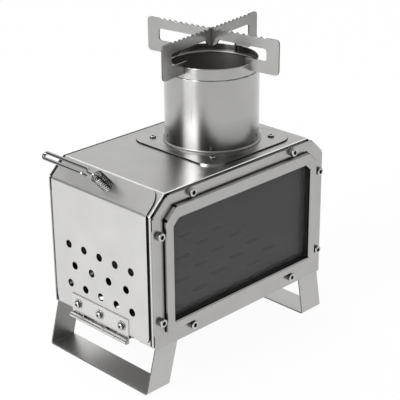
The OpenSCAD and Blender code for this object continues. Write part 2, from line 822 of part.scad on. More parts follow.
// One leg at the front of the body, its foot leaning out
module strap_leg(lean) {
    difference() {
        intersection() {
            translate([-lean - leg_w, leg_y, -leg_h]) rotate([90, 0, 90])
                linear_extrude(lean + 3 * leg_w) strap_path();
            slab(0, body_w) {
                polygon([[leg_inset - lean, -leg_h], [leg_inset + leg_w - lean, -leg_h],
                         [leg_inset + leg_w, leg_top_z], [leg_inset, leg_top_z]]);
                translate([front_pivot_x, leg_pivot_z]) circle(r = leg_ear_r);
                translate([front_pivot_x - leg_ear_r, 0]) square([2 * leg_ear_r, leg_pivot_z]);
            }
        }
        bar_y(front_pivot_x, leg_pivot_z, rivet_d / 2 + fit, 0, body_w);
    }
}

module front_leg() color(steel) in_frame() strap_leg(front_lean);

module rear_leg() color(steel) in_frame() {
    translate([body_l, 0, 0]) mirror([1, 0, 0]) strap_leg(rear_lean);
}

module leg_rivet() {
    bar_y(0, 0, rivet_d / 2, leg_y, seat_y + sheet + rivet_head_t / 2);
    bar_y(0, 0, rivet_head_d / 2, seat_y + sheet, seat_y + sheet + rivet_head_t);
}

module leg_rivets() color(dark_steel) in_frame() {
    for (x = [front_pivot_x, rear_pivot_x]) translate([x, 0, leg_pivot_z]) {
        leg_rivet();
        bar_y(0, 0, rivet_d / 2, far_flange_y - sheet - rivet_head_t / 2, body_w - leg_y);
        bar_y(0, 0, rivet_head_d / 2, far_flange_y - sheet - rivet_head_t,
              far_flange_y - sheet);
    }
}

// ---------- flue ----------

module at_flue(z) {
    translate([flue_x, flue_y, z]) children();
}

module base_screw_spots() {
    for (x = [-base_screw, base_screw], y = [-base_screw, base_screw])
        translate([flue_x + x, flue_y + y, 0]) children();
}

// A tube of one wall from z0 to z1
module tube(r, wall, z0, z1) {
    difference() {
        translate([0, 0, z0]) cylinder(h = z1 - z0, r = r, $fn = 96);
        translate([0, 0, z0 - cut]) cylinder(h = z1 - z0 + 2 * cut, r = r - wall, $fn = 96);
    }
}

module flue_base_plate() color(steel) in_frame() {
    difference() {
        translate([flue_x - base_w / 2, flue_y - base_w / 2, body_h])
            linear_extrude(base_t) rounded_square(base_w, base_w, base_r);
        at_flue(body_h - cut) cylinder(h = base_t + 2 * cut, r = flue_hole_r, $fn = 96);
        base_screw_spots() translate([0, 0, body_h - cut])
            cylinder(h = base_t + 2 * cut, r = base_screw_d / 2 + bolt_play);
    }
}

module flue_base_screws() color(bright_steel) in_frame() {
    base_screw_spots() {
        translate([0, 0, base_top]) cylinder(h = base_head_h, d = base_head_d);
        translate([0, 0, body_h - sheet - base_nut_t])
            cylinder(h = sheet + base_nut_t + base_t + base_head_h / 2, d = base_screw_d);
    }
}

module flue_base_nuts() color(dark_steel) in_frame() {
    base_screw_spots() translate([0, 0, body_h - sheet - base_nut_t])
        hex_nut(base_nut_af, base_nut_t, base_screw_d / 2 + thread_play);
}

module flue_collar() color(bright_steel) in_frame() at_flue(0) {
    tube(flue_r, flue_wall, base_top, collar_top);
    tube(foot_r, foot_r - flue_r + flue_wall, base_top, base_top + foot_t);
}

module flue_liner() color(dark_steel) in_frame() at_flue(0) {
    tube(liner_r, flue_wall, base_top, liner_top);
    translate([0, 0, liner_top]) rotate_extrude($fn = 96)
        translate([liner_r - bead_r, 0]) circle(r = bead_r, $fn = 24);
}

function cross_angles() = [cross_angle, cross_angle + 89];

module slotted_ring() color(bright_steel) in_frame() at_flue(0) {
    width = cross_t + 2 * slip;
    difference() {
        tube(ring_r, flue_wall, collar_top - ring_seat, ring_top);
        for (a = cross_angles()) rotate(a)
            translate([-flue_r, -width / 2, foot_z]) cube([2 * flue_r, width, cross_h]);
    }
}

// ---------- cross stand ----------

// One plate of the cross, seen from its side, with its feet on the line z = 0
module cross_profile() {
    half = cross_l / 2;
    arm = half - cross_end;
    bar_z = cross_h - cross_bar;
    difference() {
        union() {
            difference() {
                translate([-half, 0]) rounded_square(cross_l, cross_h, cross_r);
                for (side = [-1, 1]) translate([side < 0 ? -arm : 0, cross_foot])
                    rounded_square(arm, bar_z - cross_foot, cross_inner_r);
                translate([-foot_tip, -cut]) square([2 * foot_tip, bar_z + cut]);
            }
            translate([0, bar_z + bulge_root]) crossing_bulge();
        }
        notches = floor((half - cross_r) / notch_pitch);
        for (side = [-1, 1], i = [1 : notches - 1])
            translate([side * i * notch_pitch, cross_h + notch_r - notch_depth])
                circle(r = notch_r, $fn = 24);
    }
}

// Round bulge below the bar where the plates cross
module crossing_bulge() {
    drop = bulge_z - cross_bar + bulge_root;
    r = (bulge_w * bulge_w / 4 + drop * drop) / (2 * drop);
    translate([0, r - drop]) intersection() {
        circle(r = r, $fn = 64);
        translate([-r, -r]) square([2 * r, drop]);
    }
}

module cross_plate(lap_z0, lap_z1) {
    gap = cross_t + 2 * lap_play;
    difference() {
        rotate([90, 0, 0]) translate([0, 0, -cross_t / 2])
            linear_extrude(cross_t) cross_profile();
        translate([-gap / 2, -cross_t, lap_z0]) cube([gap, 2 * cross_t, lap_z1 - lap_z0]);
    }
}

module cross_lower() color(steel) in_frame() at_flue(foot_z) {
    rotate(cross_angles()[1])
        cross_plate(cross_h - bulge_z / 2 - lap_play, cross_h + cut);
}

module cross_upper() color(steel) in_frame() at_flue(foot_z) {
    rotate(cross_angles()[0])
        cross_plate(cross_h - bulge_z - cut, cross_h - bulge_z / 2 + lap_play);
}

// ---------- drawing ----------

body_shell();
floor_plate();
fire_grate();
window_seat();
window_gasket();
window_glass();
window_bezel();
window_frame();
window_bolts();
window_nuts();
far_side_plate();
door_panel();
hinge_door_leaf();
hinge_body_leaf();
hinge_pin();
hinge_screws();
hinge_nuts();
hinge_rivets();
handle();
handle_spring();
latch_tongue();
latch_nut();
front_leg();
rear_leg();
leg_rivets();
flue_base_plate();
flue_base_screws();
flue_base_nuts();
flue_collar();
flue_liner();
slotted_ring();
cross_lower();
cross_upper();
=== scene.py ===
"""Tent wood stove: the finish of every surface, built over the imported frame.

Sizes are in millimetres from the body's lower front corner on the window side: X runs from the
door to the rear, Y from the window to the far side, Z up. Surfaces are stacks of loops worked
out as whole arrays; piece() turns them into metres in the frame.
"""

from math import cos, pi, radians, sin

import bpy
import numpy as np
from mathutils import Matrix, Vector


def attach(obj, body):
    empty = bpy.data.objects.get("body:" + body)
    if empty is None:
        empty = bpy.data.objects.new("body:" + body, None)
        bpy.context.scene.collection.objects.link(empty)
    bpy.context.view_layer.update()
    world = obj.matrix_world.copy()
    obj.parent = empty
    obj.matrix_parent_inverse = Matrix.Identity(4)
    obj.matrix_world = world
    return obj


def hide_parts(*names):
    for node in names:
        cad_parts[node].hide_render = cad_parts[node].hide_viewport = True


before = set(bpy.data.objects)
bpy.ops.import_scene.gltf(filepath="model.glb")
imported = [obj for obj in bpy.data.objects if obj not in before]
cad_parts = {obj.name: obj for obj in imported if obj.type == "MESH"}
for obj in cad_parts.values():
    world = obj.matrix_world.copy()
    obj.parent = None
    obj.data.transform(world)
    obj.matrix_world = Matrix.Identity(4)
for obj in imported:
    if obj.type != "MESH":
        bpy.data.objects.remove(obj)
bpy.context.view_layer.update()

# ---------- sizes ----------

ALONG, ACROSS, UP = np.eye(3)
BODY_CORNER = np.array([-98.0, -62.5, 38.0])  # the body's lower front window corner in the frame
LENGTH, WIDTH, HEIGHT = 200.0, 125.0, 129.5
CHAMFER_X, CHAMFER_Z = 16.0, 15.0
CREASE = HEIGHT - CHAMFER_Z
SLOPE = np.hypot(CHAMFER_X, CHAMFER_Z)
UP_SLOPE = np.array([CHAMFER_X, 0, CHAMFER_Z]) / SLOPE
OFF_SLOPE = np.array([-CHAMFER_Z, 0, CHAMFER_X]) / SLOPE
SLOPE_AXES = (UP_SLOPE, ACROSS, OFF_SLOPE)
SHEET, PLATE = 1.0, 1.2  # thickness of the folded sheets and of the side plates
FLANGE_Y = (3.0, 122.0)
BEZEL = np.array([11, 13, 10, 11])  # margins at its ends, bottom, top and chamfers
OPENING = np.array([19, 20.5, 21, 21.4])
UPPER_CORNERS = [2, 3, 4, 5]  # by their numbers in the side outline
NOTCH_R = 1.1
FLUE = np.array([128.0, 62.5, 0.0])
FLUE_HOLE = 37.4
BASE_TOP = 130.7
COLLAR_TOP = 192.5
RING_TOP = 202.0
STAND_FOOT = 196.5
LOWER_ANGLE, UPPER_ANGLE, SEAM_ANGLE = 98, 9, 45.0
SHARP = radians(50)  # the angle from which an edge counts as sharp

WINDOW_BOLTS = np.array([[40.5, 124.9], [159.5, 124.9], [40.5, 8.6], [159.5, 8.6],
                         [6.1, 23.6], [6.1, 98.0], [193.9, 23.6], [193.9, 98.0]])
BASE_SCREWS = FLUE + [[x, y, 0] for x in (-35.5, 35.5) for y in (-35.5, 35.5)]
HINGE_SCREWS = np.array([[38.0, 9.0], [65.0, 9.0], [92.0, 9.0]])
HINGE_Y = (30.0, 100.0)
HINGE_AXIS = np.array([-3.7, -2.4])
VENT_ROWS = ((61.2, 5, 19), (43.3, 4, 21), (25.4, 5, 19))  # height, holes, pitch
STEM = [0, 58.0, CREASE] + 10.2 * UP_SLOPE


# ---------- surfaces ----------

def flip(skin):
    points, quads, caps = skin
    return points, quads[:, ::-1], [cap[::-1] for cap in caps]


def outward(skin):
    """The skin with its faces turned outwards: the volume under its faces, summed over fans of
    triangles, is positive when they are."""
    points, quads, caps = skin
    fans = [quads[:, [0, 1, 2]], quads[:, [0, 2, 3]]]
    fans += [np.stack([np.full(len(cap) - 2, cap[0]), cap[1:-1], cap[2:]], 1) for cap in caps]
    a, b, c = (points[np.concatenate(fans)[:, k]] for k in range(3))
    return skin if (a * np.cross(b, c)).sum() > 0 else flip(skin)


def skin(loops, ring=False):
    """A closed skin over a stack of loops with equally many points: quads join each loop to the
    next, and in a ring the last to the first; otherwise a flat cap closes both ends."""
    loops = np.asarray(loops, float)
    count, size = loops.shape[:2]
    row = np.arange(count if ring else count - 1)[:, None]
    col = np.arange(size)
    above, beside = (row + 1) % count, (col + 1) % size
    quads = np.stack(np.broadcast_arrays(row * size + col, above * size + col,
                                         above * size + beside, row * size + beside), -1)
    caps = [] if ring else [np.arange(size), np.arange(count * size)[:-size - 1:-1]]
    return outward((loops.reshape(-1, 3), quads.reshape(-1, 4), caps))


def place(shape, origin, axes):
    """The skin with its own axes laid along three given ones, from an origin."""
    points, quads, caps = shape if np.linalg.det(axes) > 0 else flip(shape)
    return points @ axes + origin, quads, caps


def upright(shape):
    """A plate drawn in X and Z, with its levels along Y."""
    return place(shape, (0, 0, 0), (ALONG, UP, ACROSS))


def at_flue(shape, z=0.0):
    return place(shape, FLUE + [0, 0, z], (ALONG, ACROSS, UP))


def join(shapes):
    """Several skins as one."""
    starts = np.cumsum([0] + [len(points) for points, _, _ in shapes])
    return (np.concatenate([points for points, _, _ in shapes]),
            np.concatenate([quads + k for (_, quads, _), k in zip(shapes, starts)]),
            [cap + k for (_, _, caps), k in zip(shapes, starts) for cap in caps])


def unit(vectors):
    return vectors / np.linalg.norm(vectors, axis=-1, keepdims=True)


def heading(angle):
    """The level direction at an angle in degrees from X."""
    return np.array([cos(radians(angle)), sin(radians(angle)), 0])


def all_round(sides):
    """The angles of a whole turn in equal steps."""
    return np.linspace(0, 2 * pi, sides, endpoint=False)


def circle(angle):
    """Points of the unit circle at the angles."""
    return np.stack([np.cos(angle), np.sin(angle)], -1)


def arc(x, z, radius, start, end, steps=6):
    """Points of an arc in a plane, angles in degrees."""
    return [x, z] + radius * circle(np.radians(np.linspace(start, end, steps + 1)))


def rounded(corners, radius, notched=(), steps=6):
    """A closed outline with every corner made an arc that touches both its edges, and the
    notched corners made an arc round the corner itself, dipping into the shape."""
    corners = np.asarray(corners, float)
    radius = np.full(len(corners), float(radius))
    ahead = unit(np.roll(corners, -1, 0) - corners)
    behind = np.roll(ahead, 1, 0)
    turn = np.arctan2(behind[:, 0] * ahead[:, 1] - behind[:, 1] * ahead[:, 0],
                      (behind * ahead).sum(1))
    side = np.stack([-behind[:, 1], behind[:, 0]], 1) * np.sign(turn)[:, None]
    reach = radius * np.tan(np.abs(turn) / 2)
    centre = corners - behind * reach[:, None] + side * radius[:, None]
    start = np.arctan2(-side[:, 1], -side[:, 0])
    pick = list(notched)
    centre[pick] = corners[pick]
    start[pick] = np.arctan2(-behind[pick, 1], -behind[pick, 0])
    turn[pick] -= pi
    radius[pick] = NOTCH_R
    angle = start[:, None] + turn[:, None] * np.linspace(0, 1, steps + 1)
    return (centre[:, None] + radius[:, None, None] * circle(angle)).reshape(-1, 2)


def at_level(loop, level, axis=1):
    """A flat loop put at a level along Y, or along X or Z with axis 0 or 2."""
    return np.insert(np.asarray(loop, float), axis, level, axis=1)


def drawn_in(loop, by):
    """A closed outline, anticlockwise, moved inwards along its own normals."""
    along = unit(np.roll(loop, -1, 0) - np.roll(loop, 1, 0))
    return loop + by * np.stack([-along[:, 1], along[:, 0]], 1)


def rim(loop, low, high, edge, sign=1):
    """Loops up a plate's rim from low to high, drawn in by an edge radius at both faces."""
    bend = np.radians([90, 60, 30, 0])
    inset = edge * (1 - np.cos(bend))
    rise = edge * (1 - np.sin(bend))
    levels = np.concatenate([low + rise, high - rise[::-1]])
    insets = np.concatenate([inset, inset[::-1]])
    return [at_level(drawn_in(loop, sign * i), z, 2) for i, z in zip(insets, levels)]


def plate(outer, low, high, edge, hole=None):
    """A flat plate between two levels: its outline carried up the rim, and a hole's outline
    carried back down, or flat faces where it has no hole."""
    loops = rim(outer, low, high, edge)
    if hole is None:
        return skin(loops)
    return skin(loops + rim(hole, low, high, edge, -1)[::-1], ring=True)


def round_loops(radius, height, angle):
    """Loops round the vertical axis, with a radius and a height at every angle."""
    return np.stack([radius * np.cos(angle), radius * np.sin(angle), height + 0 * angle], -1)


def turned(profile, sides, swell=None):
    """A profile of radius and height carried round the vertical axis; swell adds to the radius
    by the angle and height."""
    angle = all_round(sides)
    radius, height = np.asarray(profile, float).T[..., None] + 0 * angle
    if swell:
        radius = radius + swell(angle, height)
    return skin(round_loops(radius, height, angle), ring=True)


def swept(line, side, other, radius, sides):
    """A round wire: a circle in the two cross axes at each point of its centre line."""
    angle = all_round(sides)[:, None]
    reach = np.broadcast_to(radius, len(line))[:, None, None]
    around = np.cos(angle) * side[:, None] + np.sin(angle) * other[:, None]
    return skin(line[:, None] + reach * around)


def oblong(a, b, c, d):
    """A rectangle's corners, from a to b one way and from c to d the other."""
    return [[a, c], [b, c], [b, d], [a, d]]


def box(low, high):
    x, y, levels = zip(low, high)
    return skin([at_level(oblong(*x, *y), level, 2) for level in levels])


def rod(start, end, radius, sides=48):
    """A plain round bar between two points, for cutting holes."""
    line = np.array([start, end], float)
    ahead = unit(line[1] - line[0])
    side = unit(np.cross(ahead, [0.3, 0.5, 0.8]))
    return swept(line, np.array([side] * 2), np.array([np.cross(ahead, side)] * 2), radius, sides)


# ---------- pieces ----------

def in_scene(name, data):
    made = bpy.data.objects.new(name, data)
    bpy.context.scene.collection.objects.link(made)
    return made


def mesh_object(name, shapes):
    points, quads, caps = join(shapes)
    mesh = bpy.data.meshes.new(name)
    mesh.from_pydata(((points + BODY_CORNER) / 1000).tolist(), [],
                     quads.tolist() + [cap.tolist() for cap in caps])
    return in_scene(name, mesh)


def settle(made):
    """Keeps what the modifiers make as the piece's own mesh."""
    bpy.context.view_layer.update()
    shown = made.evaluated_get(bpy.context.evaluated_depsgraph_get())
    old, made.data = made.data, bpy.data.meshes.new_from_object(shown)
    made.modifiers.clear()
    bpy.data.meshes.remove(old)
    made.data.name = made.name


def cut_away(made, shapes):
    tool = mesh_object("cutting_shape", shapes)
    cut = made.modifiers.new("cut", "BOOLEAN")
    cut.object, cut.operation, cut.solver = tool, "DIFFERENCE", "EXACT"
    cut.use_self = True
    settle(made)
    bpy.data.objects.remove(tool)


def coat(mesh, finish, others=()):
    """Gives a mesh its finish. Each other finish comes with a test that picks its faces from the
    middles of all faces, in millimetres, and their normals."""
    mesh.materials.clear()
    mesh.materials.append(finish)
    count = len(mesh.polygons)
    middles, normals = np.empty(count * 3), np.empty(count * 3)
    mesh.polygons.foreach_get("center", middles)
    mesh.polygons.foreach_get("normal", normals)
    middles, normals = middles.reshape(-1, 3) * 1000 - BODY_CORNER, normals.reshape(-1, 3)
    dressed = np.zeros(count, np.int32)
    for number, (other, picked) in enumerate(others, 1):
        mesh.materials.append(other)
        dressed[picked(middles, normals)] = number
    mesh.polygons.foreach_set("material_index", dressed)


def piece(name, body, finish, shapes, cuts=(), bevel=0.0, others=()):
    """A finished piece that stands for the CAD node of the same name."""
    made = mesh_object(name + "_skin", shapes)
    if cuts:
        cut_away(made, cuts)
    if bevel:
        edge = made.modifiers.new("edges", "BEVEL")
        edge.width, edge.segments = bevel / 1000, 2
        edge.limit_method, edge.angle_limit = "ANGLE", SHARP
        edge.use_clamp_overlap = True
        settle(made)
    mesh = made.data
    mesh.polygons.foreach_set("use_smooth", np.ones(len(mesh.polygons), bool))
    mesh.set_sharp_from_angle(angle=SHARP)
    made.modifiers.new("flat_faces", "WEIGHTED_NORMAL").keep_sharp = True
    coat(mesh, finish, others)
    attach(made, body)
    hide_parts(name)


# ---------- materials ----------

def bare(owner):
    """A new material or world, and its node tree with nothing in it."""
    owner.use_nodes = True
    owner.node_tree.nodes.clear()
    return owner, owner.node_tree


def node(tree, kind, inputs=None, **settings):
    """A shader node with its settings, and its inputs set to values or linked to outputs."""
    made = tree.nodes.new("ShaderNode" + kind)
    for setting, value in settings.items():
        setattr(made, setting, value)
    for socket, value in (inputs or {}).items():
        if isinstance(value, bpy.types.NodeSocket):
            tree.links.new(value, made.inputs[socket])
        else:
            made.inputs[socket].default_value = value
    return made


def dress(tree, inputs):
    shader = node(tree, "BsdfPrincipled", inputs)
    node(tree, "OutputMaterial", {"Surface": shader.outputs["BSDF"]})


def noise(tree, stretch, detail, rough, offset=(0, 0, 0)):
    """Noise on the piece's own place in metres, with so many grains a metre along each axis."""
    spot = node(tree, "TexCoord").outputs["Object"]
    mapping = node(tree, "Mapping", {"Vector": spot, "Scale": stretch, "Location": offset})
    return node(tree, "TexNoise", {"Vector": mapping.outputs["Vector"], "Scale": 1.0,
                                   "Detail": detail, "Roughness": rough}).outputs["Fac"]


def spread(tree, value, low, high, start=0.25, end=0.75, way="LINEAR"):
    """A value between start and end laid out between low and high."""
    return node(tree, "MapRange", {"Value": value, "From Min": start, "From Max": end,
                                   "To Min": low, "To Max": high},
                interpolation_type=way).outputs["Result"]


def blend_colours(tree, factor, dark, light):
    return node(tree, "Mix", {"Factor": factor, "A": (*dark, 1), "B": (*light, 1)},
                data_type="RGBA").outputs["Result"]


def multiplied(tree, first, second):
    return node(tree, "Mix", {"Factor": 1.0, "A": first, "B": second},
                data_type="RGBA", blend_type="MULTIPLY").outputs["Result"]


def relief(tree, height, depth, before=None):
    """Surface relief of a depth in metres, over the relief that comes before it."""
    made = node(tree, "Bump", {"Strength": 1.0, "Distance": depth, "Height": height})
    if before is not None:
        tree.links.new(before, made.inputs["Normal"])
    return made.outputs["Normal"]


def darkened_low(tree, colour, low, high, share):
    """A colour darkened to a share of itself at a low height in metres, clear at a high one."""
    spot = node(tree, "SeparateXYZ", {"Vector": node(tree, "TexCoord").outputs["Object"]})
    clear = spread(tree, spot.outputs["Z"], 0, 1, low, high)
    return multiplied(tree, colour, blend_colours(tree, clear, (share,) * 3, (1, 1, 1)))


def steel(name, tone, rough, grain, streak=0.02, cloud=0.03, wave=0.00004, scratch=0.000001,
          cloud_size=22.0, drawn=0.0, low_darkening=None):
    """Sheet steel: fine streaks drawn out along the brushing, a slow mottling of its tone, and a
    slight waviness of the sheet; a drawn wall smears its reflections upright."""
    made, tree = bare(bpy.data.materials.new(name))
    streaks = noise(tree, grain, 4, 0.6)
    clouds = noise(tree, (cloud_size,) * 3, 3, 0.5, (3, 1, 2))
    tone = np.array(tone)
    mottled = blend_colours(tree, spread(tree, clouds, 0, 1), tone * (1 - cloud),
                            tone * (1 + cloud))
    brushed = blend_colours(tree, spread(tree, streaks, 0, 1), (1 - streak,) * 3,
                            (1 + streak,) * 3)
    colour = multiplied(tree, mottled, brushed)
    if low_darkening:
        colour = darkened_low(tree, colour, *low_darkening)
    inputs = {"Base Color": colour, "Metallic": 1.0,
              "Roughness": spread(tree, streaks, rough * 0.92, rough * 1.08),
              "Normal": relief(tree, clouds, wave, relief(tree, streaks, scratch))}
    if drawn:
        upright_way = node(tree, "CombineXYZ", {"Z": 1.0})
        inputs.update({"Tangent": upright_way.outputs["Vector"], "Anisotropic": drawn})
    dress(tree, inputs)
    return made


ALONG_X = (25, 1400, 1400)
ALONG_Y = (1400, 25, 1400)
ALONG_Z = (1400, 1400, 25)
AROUND = (6, 6, 1500)
BODY_SHEET = dict(streak=0.005, cloud=0.045, wave=0.00001, cloud_size=45.0, scratch=0.0000001)

folded_steel = steel("folded_steel", (0.465, 0.461, 0.452), 0.3, ALONG_X, **BODY_SHEET)
plate_steel = steel("plate_steel", (0.435, 0.431, 0.423), 0.3, ALONG_X, **BODY_SHEET)
# Painted shade: a darker copy of the door's steel for the band along its crease.
crease_shade_steel = steel("crease_shade_steel", (0.36, 0.357, 0.35), 0.4, ALONG_X, cloud=0.05)
shaded_steel = steel("shaded_steel", (0.3, 0.297, 0.29), 0.4, ALONG_X, cloud=0.1)
# Painted highlight: a pale copy of the body's steel for folds and corners that catch the light.
painted_highlight_steel = steel("painted_highlight_fold", (0.86, 0.855, 0.845), 0.3, ALONG_X, streak=0.01)
door_steel = steel("door_steel", (0.65, 0.645, 0.636), 0.34, ALONG_Z, streak=0.01, cloud=0.05,
                   wave=0.00001, cloud_size=30.0, scratch=0.0000003)
hinge_steel = steel("hinge_steel", (0.69, 0.685, 0.675), 0.28, ALONG_Y, streak=0.01,
                    scratch=0.0000003)
# The collar is darker towards its foot.
flue_steel = steel("flue_steel", (0.45, 0.447, 0.44), 0.2, AROUND, streak=0.012, cloud=0.07,
                   drawn=0.8, low_darkening=(0.170, 0.197, 0.5))
inner_steel = steel("inner_steel", (0.33, 0.315, 0.295), 0.42, ALONG_X, cloud=0.15)
grate_steel = steel("grate_steel", (0.56, 0.54, 0.51), 0.5, ALONG_X, cloud=0.1)
leg_steel = steel("leg_steel", (0.49, 0.486, 0.476), 0.36, ALONG_Z, cloud=0.05)
# Painted shade: a dark copy of the leg's steel for the uprights' inner sides.
leg_inner_shade_steel = steel("leg_back", (0.25, 0.247, 0.24), 0.4, ALONG_Z, cloud=0.1)
stand_steel = steel("stand_steel", (0.36, 0.357, 0.35), 0.3, ALONG_X, cloud=0.08)
# Near black: dark cut edges, and painted shadow in gaps and on sides turned from the light.
black_edge_and_shadow_steel = steel("black_edge_and_painted_shadow", (0.035, 0.034, 0.033), 0.5, ALONG_X, cloud=0.2)
# Dark grey: the cut edges of the legs and cross plates, the floor plate inside, and painted shade
# on the bezel's inner walls.
dark_edge_and_shade_steel = steel("sawn_edge_and_painted_shade", (0.14, 0.138, 0.135), 0.4, ALONG_X, cloud=0.2)
# Painted shade: near black for sockets, screw brims, washer rims and the stem inside the coil.
recess_shade_steel = steel("recess", (0.09, 0.088, 0.086), 0.5, (400,) * 3, cloud=0.2)
# The knurl's relief is real; its dark grey is painted shade in the grooves.
shaded_knurl_steel = steel("knurl", (0.16, 0.158, 0.155), 0.4, (2500,) * 3, streak=0.3, cloud=0.2,
                      scratch=0.0001)
wire_steel = steel("wire", (0.31, 0.31, 0.306), 0.13, (300,) * 3, cloud=0.02, wave=0.000005)
spring_steel = steel("spring_wire", (0.4, 0.396, 0.392), 0.2, (300,) * 3)
fastener_steel = steel("fastener", (0.56, 0.56, 0.555), 0.24, (400,) * 3, streak=0.04,
                       wave=0.00001)


def glass_material():
    made, tree = bare(bpy.data.materials.new("window_glass"))
    clouds = spread(tree, noise(tree, (14,) * 3, 2, 0.5), 0, 1)
    dress(tree, {"Base Color": blend_colours(tree, clouds, (0.17,) * 3, (0.185,) * 3),
                 "Roughness": 0.1, "Alpha": 0.5, "IOR": 1.22})
    return made


def gasket_material():
    made, tree = bare(bpy.data.materials.new("gasket"))
    weave = noise(tree, (1200,) * 3, 2, 0.5)
    dress(tree, {"Base Color": blend_colours(tree, weave, (0.008,) * 3, (0.03,) * 3),
                 "Roughness": 0.9, "Normal": relief(tree, weave, 0.0002)})
    return made


# ---------- body ----------

def outline(side, bottom, top, diagonal):
    """The body's six-cornered side outline, moved in by a margin at its ends, bottom, top and
    chamfers."""
    z = CREASE + (CHAMFER_Z * side - SLOPE * diagonal) / CHAMFER_X
    x = CHAMFER_X + (SLOPE * diagonal - CHAMFER_X * top) / CHAMFER_Z
    return np.array([[side, bottom], [LENGTH - side, bottom], [LENGTH - side, z],
                     [LENGTH - x, HEIGHT - top], [x, HEIGHT - top], [side, z]])


def body_shell():
    """One folded sheet: a strip with a flange folded in along both sides, carried round the
    outline; a point of the strip `inset` in lies on the outline moved in by as much."""
    near, far = FLANGE_Y
    fold, flange, corner, door_side = 1.5, 9.0, 1.8, 3.4
    strip = np.concatenate([[[flange, near]], arc(fold, near + fold, fold, 270, 180),
                            [[0, near + door_side]], arc(fold, far - fold, fold, 180, 90),
                            [[flange, far], [flange, far - SHEET]],
                            arc(fold, far - fold, fold - SHEET, 90, 180),
                            arc(fold, near + fold, fold - SHEET, 180, 270),
                            [[flange, near + SHEET]]])
    loops = [at_level(rounded(outline(inset, inset, inset, inset), max(corner - inset, 0.3)), y)
             for inset, y in strip]
    underside = box((12, near + SHEET, -2), (LENGTH - 12, far - SHEET, 4))
    doorway = box((-2, 14, 14), (4, 111, CREASE))
    doorway_slope = place(box((-2, 14, -2), (15.4, 111, 2)), (0, 0, CREASE), SLOPE_AXES)
    flue_hole = rod(FLUE + [0, 0, 120], FLUE + [0, 0, 140], FLUE_HOLE, 96)
    lip_notch = box((-2, 20, -2), (5, 27.5, 2.5))
    cuts = [underside, doorway, doorway_slope, flue_hole, lip_notch]
    cuts += [rod((-2, y, z), (3, y, z), 4.75) for y, z in HINGE_SCREWS]

    def front_wall(middles, normals):
        sloped = (normals @ OFF_SLOPE > 0.9) & (middles[:, 0] < 20)
        return sloped | ((normals[:, 0] < -0.6) & (middles[:, 0] < 1.5))

    # Painted highlight along the folds at the chamfer's window side.
    def chamfer_fold_highlight(middles, normals):
        side = middles[:, 1] < near + fold
        return side & (middles[:, 2] > CREASE - 3) & (normals @ OFF_SLOPE > 0.45)

    # Painted shadow: a black strip on the body beside the door's edge, and along the flange's top,
    # where the gaps fall in shade.
    def gap_shadow(middles, normals):
        x, y, z = middles.T
        beside_door = (x < 0.1) & (y > near + fold) & (y < near + door_side)
        return (beside_door & (z > 8) & (z < CREASE)) | ((y < near + 0.45) & (z > CREASE - 1))

    piece("body_shell", "stove", folded_steel, [skin(loops, ring=True)], cuts,
          others=[(door_steel, front_wall), (painted_highlight_steel, chamfer_fold_highlight),
                  (black_edge_and_shadow_steel, gap_shadow)])


def lips(low, high):
    """The lips folded back along the top and both ends of a side plate, and its leg stops."""
    inset, trim = 0.8, 4
    corners = outline(inset, inset, inset, inset)
    strips = []
    for start, end in zip(corners[2:5], corners[3:6]):
        ahead = unit(end - start)
        inward = SHEET * np.array([-ahead[1], ahead[0]])
        a, b = start + trim * ahead, end - trim * ahead
        strips.append([a, b, b + inward, a + inward])
    for x, width, foot, head in ((inset, SHEET, 11.8, 102.7),
                                 (LENGTH - inset - SHEET, SHEET, 11.8, 102.7),
                                 (3.5, 9, 2.4, 3.4), (LENGTH - 12.5, 9, 2.4, 3.4)):
        strips.append(oblong(x, x + width, foot, head))
    return [upright(plate(rounded(strip, 0.25), low, high, 0.15)) for strip in strips]


def bezel_loop(inset, radius=0.8):
    return rounded(outline(*(BEZEL + inset)), radius)


def opening_loop(outset):
    return rounded(outline(*(OPENING - outset)), 1.2)


def side_plate(low, hole=None):
    """A side plate's sheet, with notched upper corners."""
    corners = rounded(outline(0, 0, 0.9, 0), 0.8, UPPER_CORNERS)
    return upright(plate(corners, low, low + PLATE, 0.25, hole))


# The side plates' upper edges and the frame's edges round the bezel are near black: dark cut edges
# with painted shadow in the gaps beside them.
def upper_edges(middles, normals):
    return (np.abs(normals @ ACROSS) < 0.7) & (normals[:, 2] > 0.3)


def inner_edges(middles, normals):
    reach, z = np.abs(middles[:, 0] - LENGTH / 2), middles[:, 2]
    return (reach < 95) & (z > 6) & (z < HEIGHT - 6) & (np.abs(normals @ ACROSS) < 0.7)


def window_frame():
    piece("window_frame", "stove", plate_steel,
          [side_plate(0, bezel_loop(-0.6, 1.0))] + lips(PLATE, FLANGE_Y[0]),
          others=[(black_edge_and_shadow_steel, upper_edges), (black_edge_and_shadow_steel, inner_edges)])


def far_side_plate():
    piece("far_side_plate", "stove", plate_steel,
          [side_plate(WIDTH - PLATE)] + lips(FLANGE_Y[1], WIDTH - PLATE),
          others=[(black_edge_and_shadow_steel, upper_edges)])


